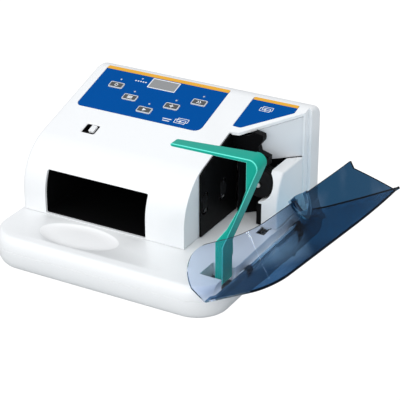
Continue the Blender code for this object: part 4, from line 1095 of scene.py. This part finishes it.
def is_recess_wall(face):
    """Whether a face of the closed cover is on the wall of the thumb recess."""
    middle = machine_point(face.center)
    near = abs(middle.y - DIMPLE_Y) < DIMPLE_RADIUS + 0.5 and middle.x < COVER_INNER_X + 2 * DIMPLE_RADIUS
    depth = cover_top(DIMPLE_Y) - middle.z
    return near and 0.3 < depth < 9 and abs(face.normal.z) < 0.9


def is_cover_edge(face):
    """Whether a face of the closed cover is on its fold, its free edge or its back end."""
    middle = machine_point(face.center)
    on_fold = face.normal.x > 0.05 and face.normal.z > 0.05
    on_free_edge = face.normal.x < -0.9 and middle.x < COVER_INNER_X + 0.5
    on_back_end = face.normal.y > 0.6 and middle.x > COVER_INNER_X + 1 and middle.y > DIMPLE_Y + 20
    return on_fold or on_free_edge or on_back_end


def turn_open(made):
    """Turn a piece that was drawn with the cover closed to where the cover is at rest."""
    centre = ORIGIN + Vector((HINGE[0], 0.0, HINGE[1])) * MM
    made.data.transform(Matrix.Translation(centre) @ Matrix.Rotation(COVER_OPEN, 4, "Y")
                        @ Matrix.Translation(-centre))


def make_presser():
    """Green lever that stands on its pivot and holds its long bar over the hopper."""
    pivot_z = PRESSER_PIVOT[1]
    y0, y1 = PRESSER_Y
    outer = [(216.0, pivot_z), (216.0, 27.0), (245.2, 100.5)] + arc((238.4, 103.2), 7.3, -20, 88, 24)
    tip = [(169.0, 109.4), (167.5, 108.6), (167.5, 107.4), (169.0, 106.6)]
    inner = [(236.0, 107.4), (236.0, 83.0), (230.5, 67.0), (219.0, 44.5), (209.0, 31.0), (209.0, pivot_z)]
    knuckle = arc(PRESSER_PIVOT, 3.5, 180, 360, 24)[1:-1]
    blank = soften(prism("y", outer + tip + inner + knuckle, y0, y1), 0.9, 4,
                   lambda e: max(v.co.y for v in e.verts) < y0 + 0.01)
    arm = mesh_object("presser_lever", blank)
    web = [(236.9, 108.4), (236.9, 92.0), (243.4, 102.5), (242.2, 106.2), (239.4, 108.4)]
    cut(arm, prism("y", web, y0 + 3, y1 + 5))
    cut(arm, rod("y", PRESSER_PIVOT, 2.0, y0 - 5, y1 + 5, 32))
    taper = [(160.0, -16.4), (237.0, -9.8), (237.0, -5.0), (160.0, -5.0)]
    cut(arm, prism("z", taper, 104.0, 115.0))
    finish(arm, TEAL, "presser", "presser_arm", bevel=0.5, segments=4, clean=False)
    # The slanted front bevel faces get the light green as a painted highlight.
    paint(arm, TEAL_PAINTED_HIGHLIGHT, lambda face: -0.95 < face.normal.y < -0.15)


def grooved(radius, depth, starts, width, slant):
    """Profile of a tyre's tread with a groove at each start, as (radius, along) points."""
    profile = []
    for y in starts:
        profile += [(radius, y - slant), (radius - depth, y), (radius - depth, y + width),
                    (radius, y + width + slant)]
    return profile


def make_rollers():
    bore = SHAFT_RADIUS + 0.3
    low, high = 76.0, 92.0
    chamfer = FEED_RADIUS - 1.2
    tread = grooved(FEED_RADIUS, 0.7, [79.4 + 3.2 * i for i in range(4)], 0.6, 0.3)
    profile = [(bore, low), (chamfer, low), (FEED_RADIUS, low + 1), *tread, (FEED_RADIUS, high - 1),
               (chamfer, high), (bore, high)]
    piece("feed_tyre", turned("y", FEED, profile, 96), RUBBER, "feed_rotor", "feed_roller")

    chamfer = PICKUP_RADIUS - 0.5
    for side, low in (("front", 28.0), ("back", 60.0)):
        high = low + 10
        tread = grooved(PICKUP_RADIUS, 0.5, [low + 2.4 + 2.4 * i for i in range(3)], 0.5, 0.2)
        profile = [(bore, low), (chamfer, low), (PICKUP_RADIUS, low + 0.6), *tread,
                   (PICKUP_RADIUS, low + 9.4), (chamfer, high), (bore, high)]
        piece(f"pickup_tyre_{side}", turned("y", PICKUP, profile, 96), RUBBER, "pickup_rotor",
              f"pickup_wheel_{side}")

    retard = mesh_object("retard_tyre", rod("y", RETARD, RETARD_RADIUS, 77.0, 83.4, 64))
    join(retard, rod("y", RETARD, 1.2, 83.0, 92.0, 24))
    finish(retard, RUBBER, "retard_rotor", "retard_roller", bevel=0.4, segments=3)


def make_inlet():
    low, high = node_box("power_inlet")
    shell = prism("y", rounded((low.x, low.z), (high.x, high.z), 1.2), low.y, high.y)
    jack = mesh_object("power_socket", shell)
    middle = (12.3, 14.5)
    mouth = [(0.02, DEPTH - 1.6), (4.2, DEPTH - 1.6), (5.0, DEPTH + 1), (0.02, DEPTH + 1)]
    cut(jack, rod("y", middle, 3.6, 132.0, DEPTH + 2, 48))
    cut(jack, turned("y", middle, mouth, 48))
    finish(jack, BLACK, node="power_inlet", bevel=0.25)
    pin = [(0.02, 132.2), (1.0, 132.2), (1.0, 142.6), (0.7, 143.4), (0.02, 143.6)]
    piece("power_contact", turned("y", middle, pin, 32), STEEL)


def dress_nodes():
    """Materials of the CAD nodes whose own shape is shown."""
    finishes = {
        STEEL: ["pickup_shaft", "feed_shaft", "stacker_shaft", "front_plate", "back_plate", "hinge_pin_front",
                "hinge_pin_back", "presser_pivot", "presser_spring", "magnetic_head"],
        DARK_STEEL: ["motor"],
        BRASS: [n for n in frame["nodes"] if "_bush_" in n],
        NYLON: [n for n in frame["nodes"] if n.endswith("_pulley")],
        BLACK: ["stacker_wheel_front", "stacker_wheel_back"],
        RUBBER: [n for n in frame["nodes"] if n.endswith("_belt")],
        BOARD: ["control_board", "main_board"],
        TUBE: ["uv_lamp"],
    }
    for material, nodes in finishes.items():
        for name in nodes:
            mesh = frame["nodes"][name].data
            mesh.materials.clear()
            mesh.materials.append(material)


# ------------ camera and lights

def make_camera():
    """Camera far off at the front right, a little above, with a long lens."""
    camera = bpy.data.cameras.new("camera")
    made = add_object("camera", camera)
    camera.sensor_width = 36.0
    camera.lens = CAMERA_LENS
    camera.clip_end = 50.0
    made.location = ORIGIN + Vector(CAMERA_PLACE) * MM
    made.rotation_euler = (radians(90 - CAMERA_DOWN), 0.0, radians(CAMERA_TURN))
    bpy.context.scene.camera = made


def area_light(name, azimuth, elevation, distance, size, power, colour=(1.0, 1.0, 1.0)):
    """Square soft light that looks at the machine from the given side; azimuth 0 is the front."""
    light = bpy.data.lights.new(name, "AREA")
    light.energy = power
    light.size = size
    light.color = colour
    made = add_object(name, light)
    a, e = radians(azimuth), radians(elevation)
    aim = (cad_low + cad_high) / 2
    away = Vector((sin(a) * cos(e), -cos(a) * cos(e), sin(e)))
    made.location = aim + away * distance
    made.rotation_euler = away.to_track_quat("Z", "Y").to_euler()


def floor_white():
    """Matt floor that rays from the camera, also through the clear cover, meet as plain white."""
    ground = plastic("floor_white", (0.52, 0.535, 0.54), 0.85, 0.004, specular=0.1)
    tree = ground.node_tree
    glow, path, seen, mix = (tree.nodes.new(f"ShaderNode{kind}")
                             for kind in ("Emission", "LightPath", "Math", "MixShader"))
    glow.inputs["Strength"].default_value = 1.1
    seen.operation = "MAXIMUM"
    for source, target in ((path.outputs["Is Camera Ray"], seen.inputs[0]),
                           (path.outputs["Is Transmission Ray"], seen.inputs[1]),
                           (seen.outputs["Value"], mix.inputs[0]),
                           (tree.nodes["Principled BSDF"].outputs["BSDF"], mix.inputs[1]),
                           (glow.outputs["Emission"], mix.inputs[2]),
                           (mix.outputs["Shader"], tree.nodes["Material Output"].inputs["Surface"])):
        tree.links.new(source, target)
    return ground


def make_floor():
    grid = bmesh.new()
    bmesh.ops.create_grid(grid, x_segments=1, y_segments=1, size=6.0)
    floor = add_object("floor", mesh_of(grid, "floor"))
    floor.location = (0.0, 0.0, cad_low.z - 0.0002)
    floor.data.materials.append(floor_white())


def make_lights():
    area_light("key", -38, 36, 1.6, 1.3, 7)
    area_light("front", 5, 24, 2.0, 1.2, 9)
    area_light("top", 20, 82, 1.7, 1.4, 6)
    area_light("streak", 44, 8, 1.6, 0.2, 2.5)
    area_light("right_fill", 95, 25, 1.8, 1.0, 3.2, (0.94, 0.97, 1.0))
    world = bpy.data.worlds.new("studio")
    bpy.context.scene.world = world
    world.use_nodes = True
    background = world.node_tree.nodes["Background"]
    background.inputs["Color"].default_value = (0.95, 0.97, 1.0, 1.0)
    background.inputs["Strength"].default_value = 0.62
    bpy.context.scene.view_settings.view_transform = "Standard"


make_camera()
make_floor()
make_lights()
make_housing()
make_deck()
make_tray()
make_screws()
make_feet()
make_pocket()
make_labels()
make_prints()
make_keys()
make_display()
make_lamps()
make_switch()
make_hopper_wall()
make_ledge()
make_chute()
make_feed_plate()
make_separator()
make_sensor()
make_cover()
make_presser()
make_rollers()
make_inlet()
dress_nodes()
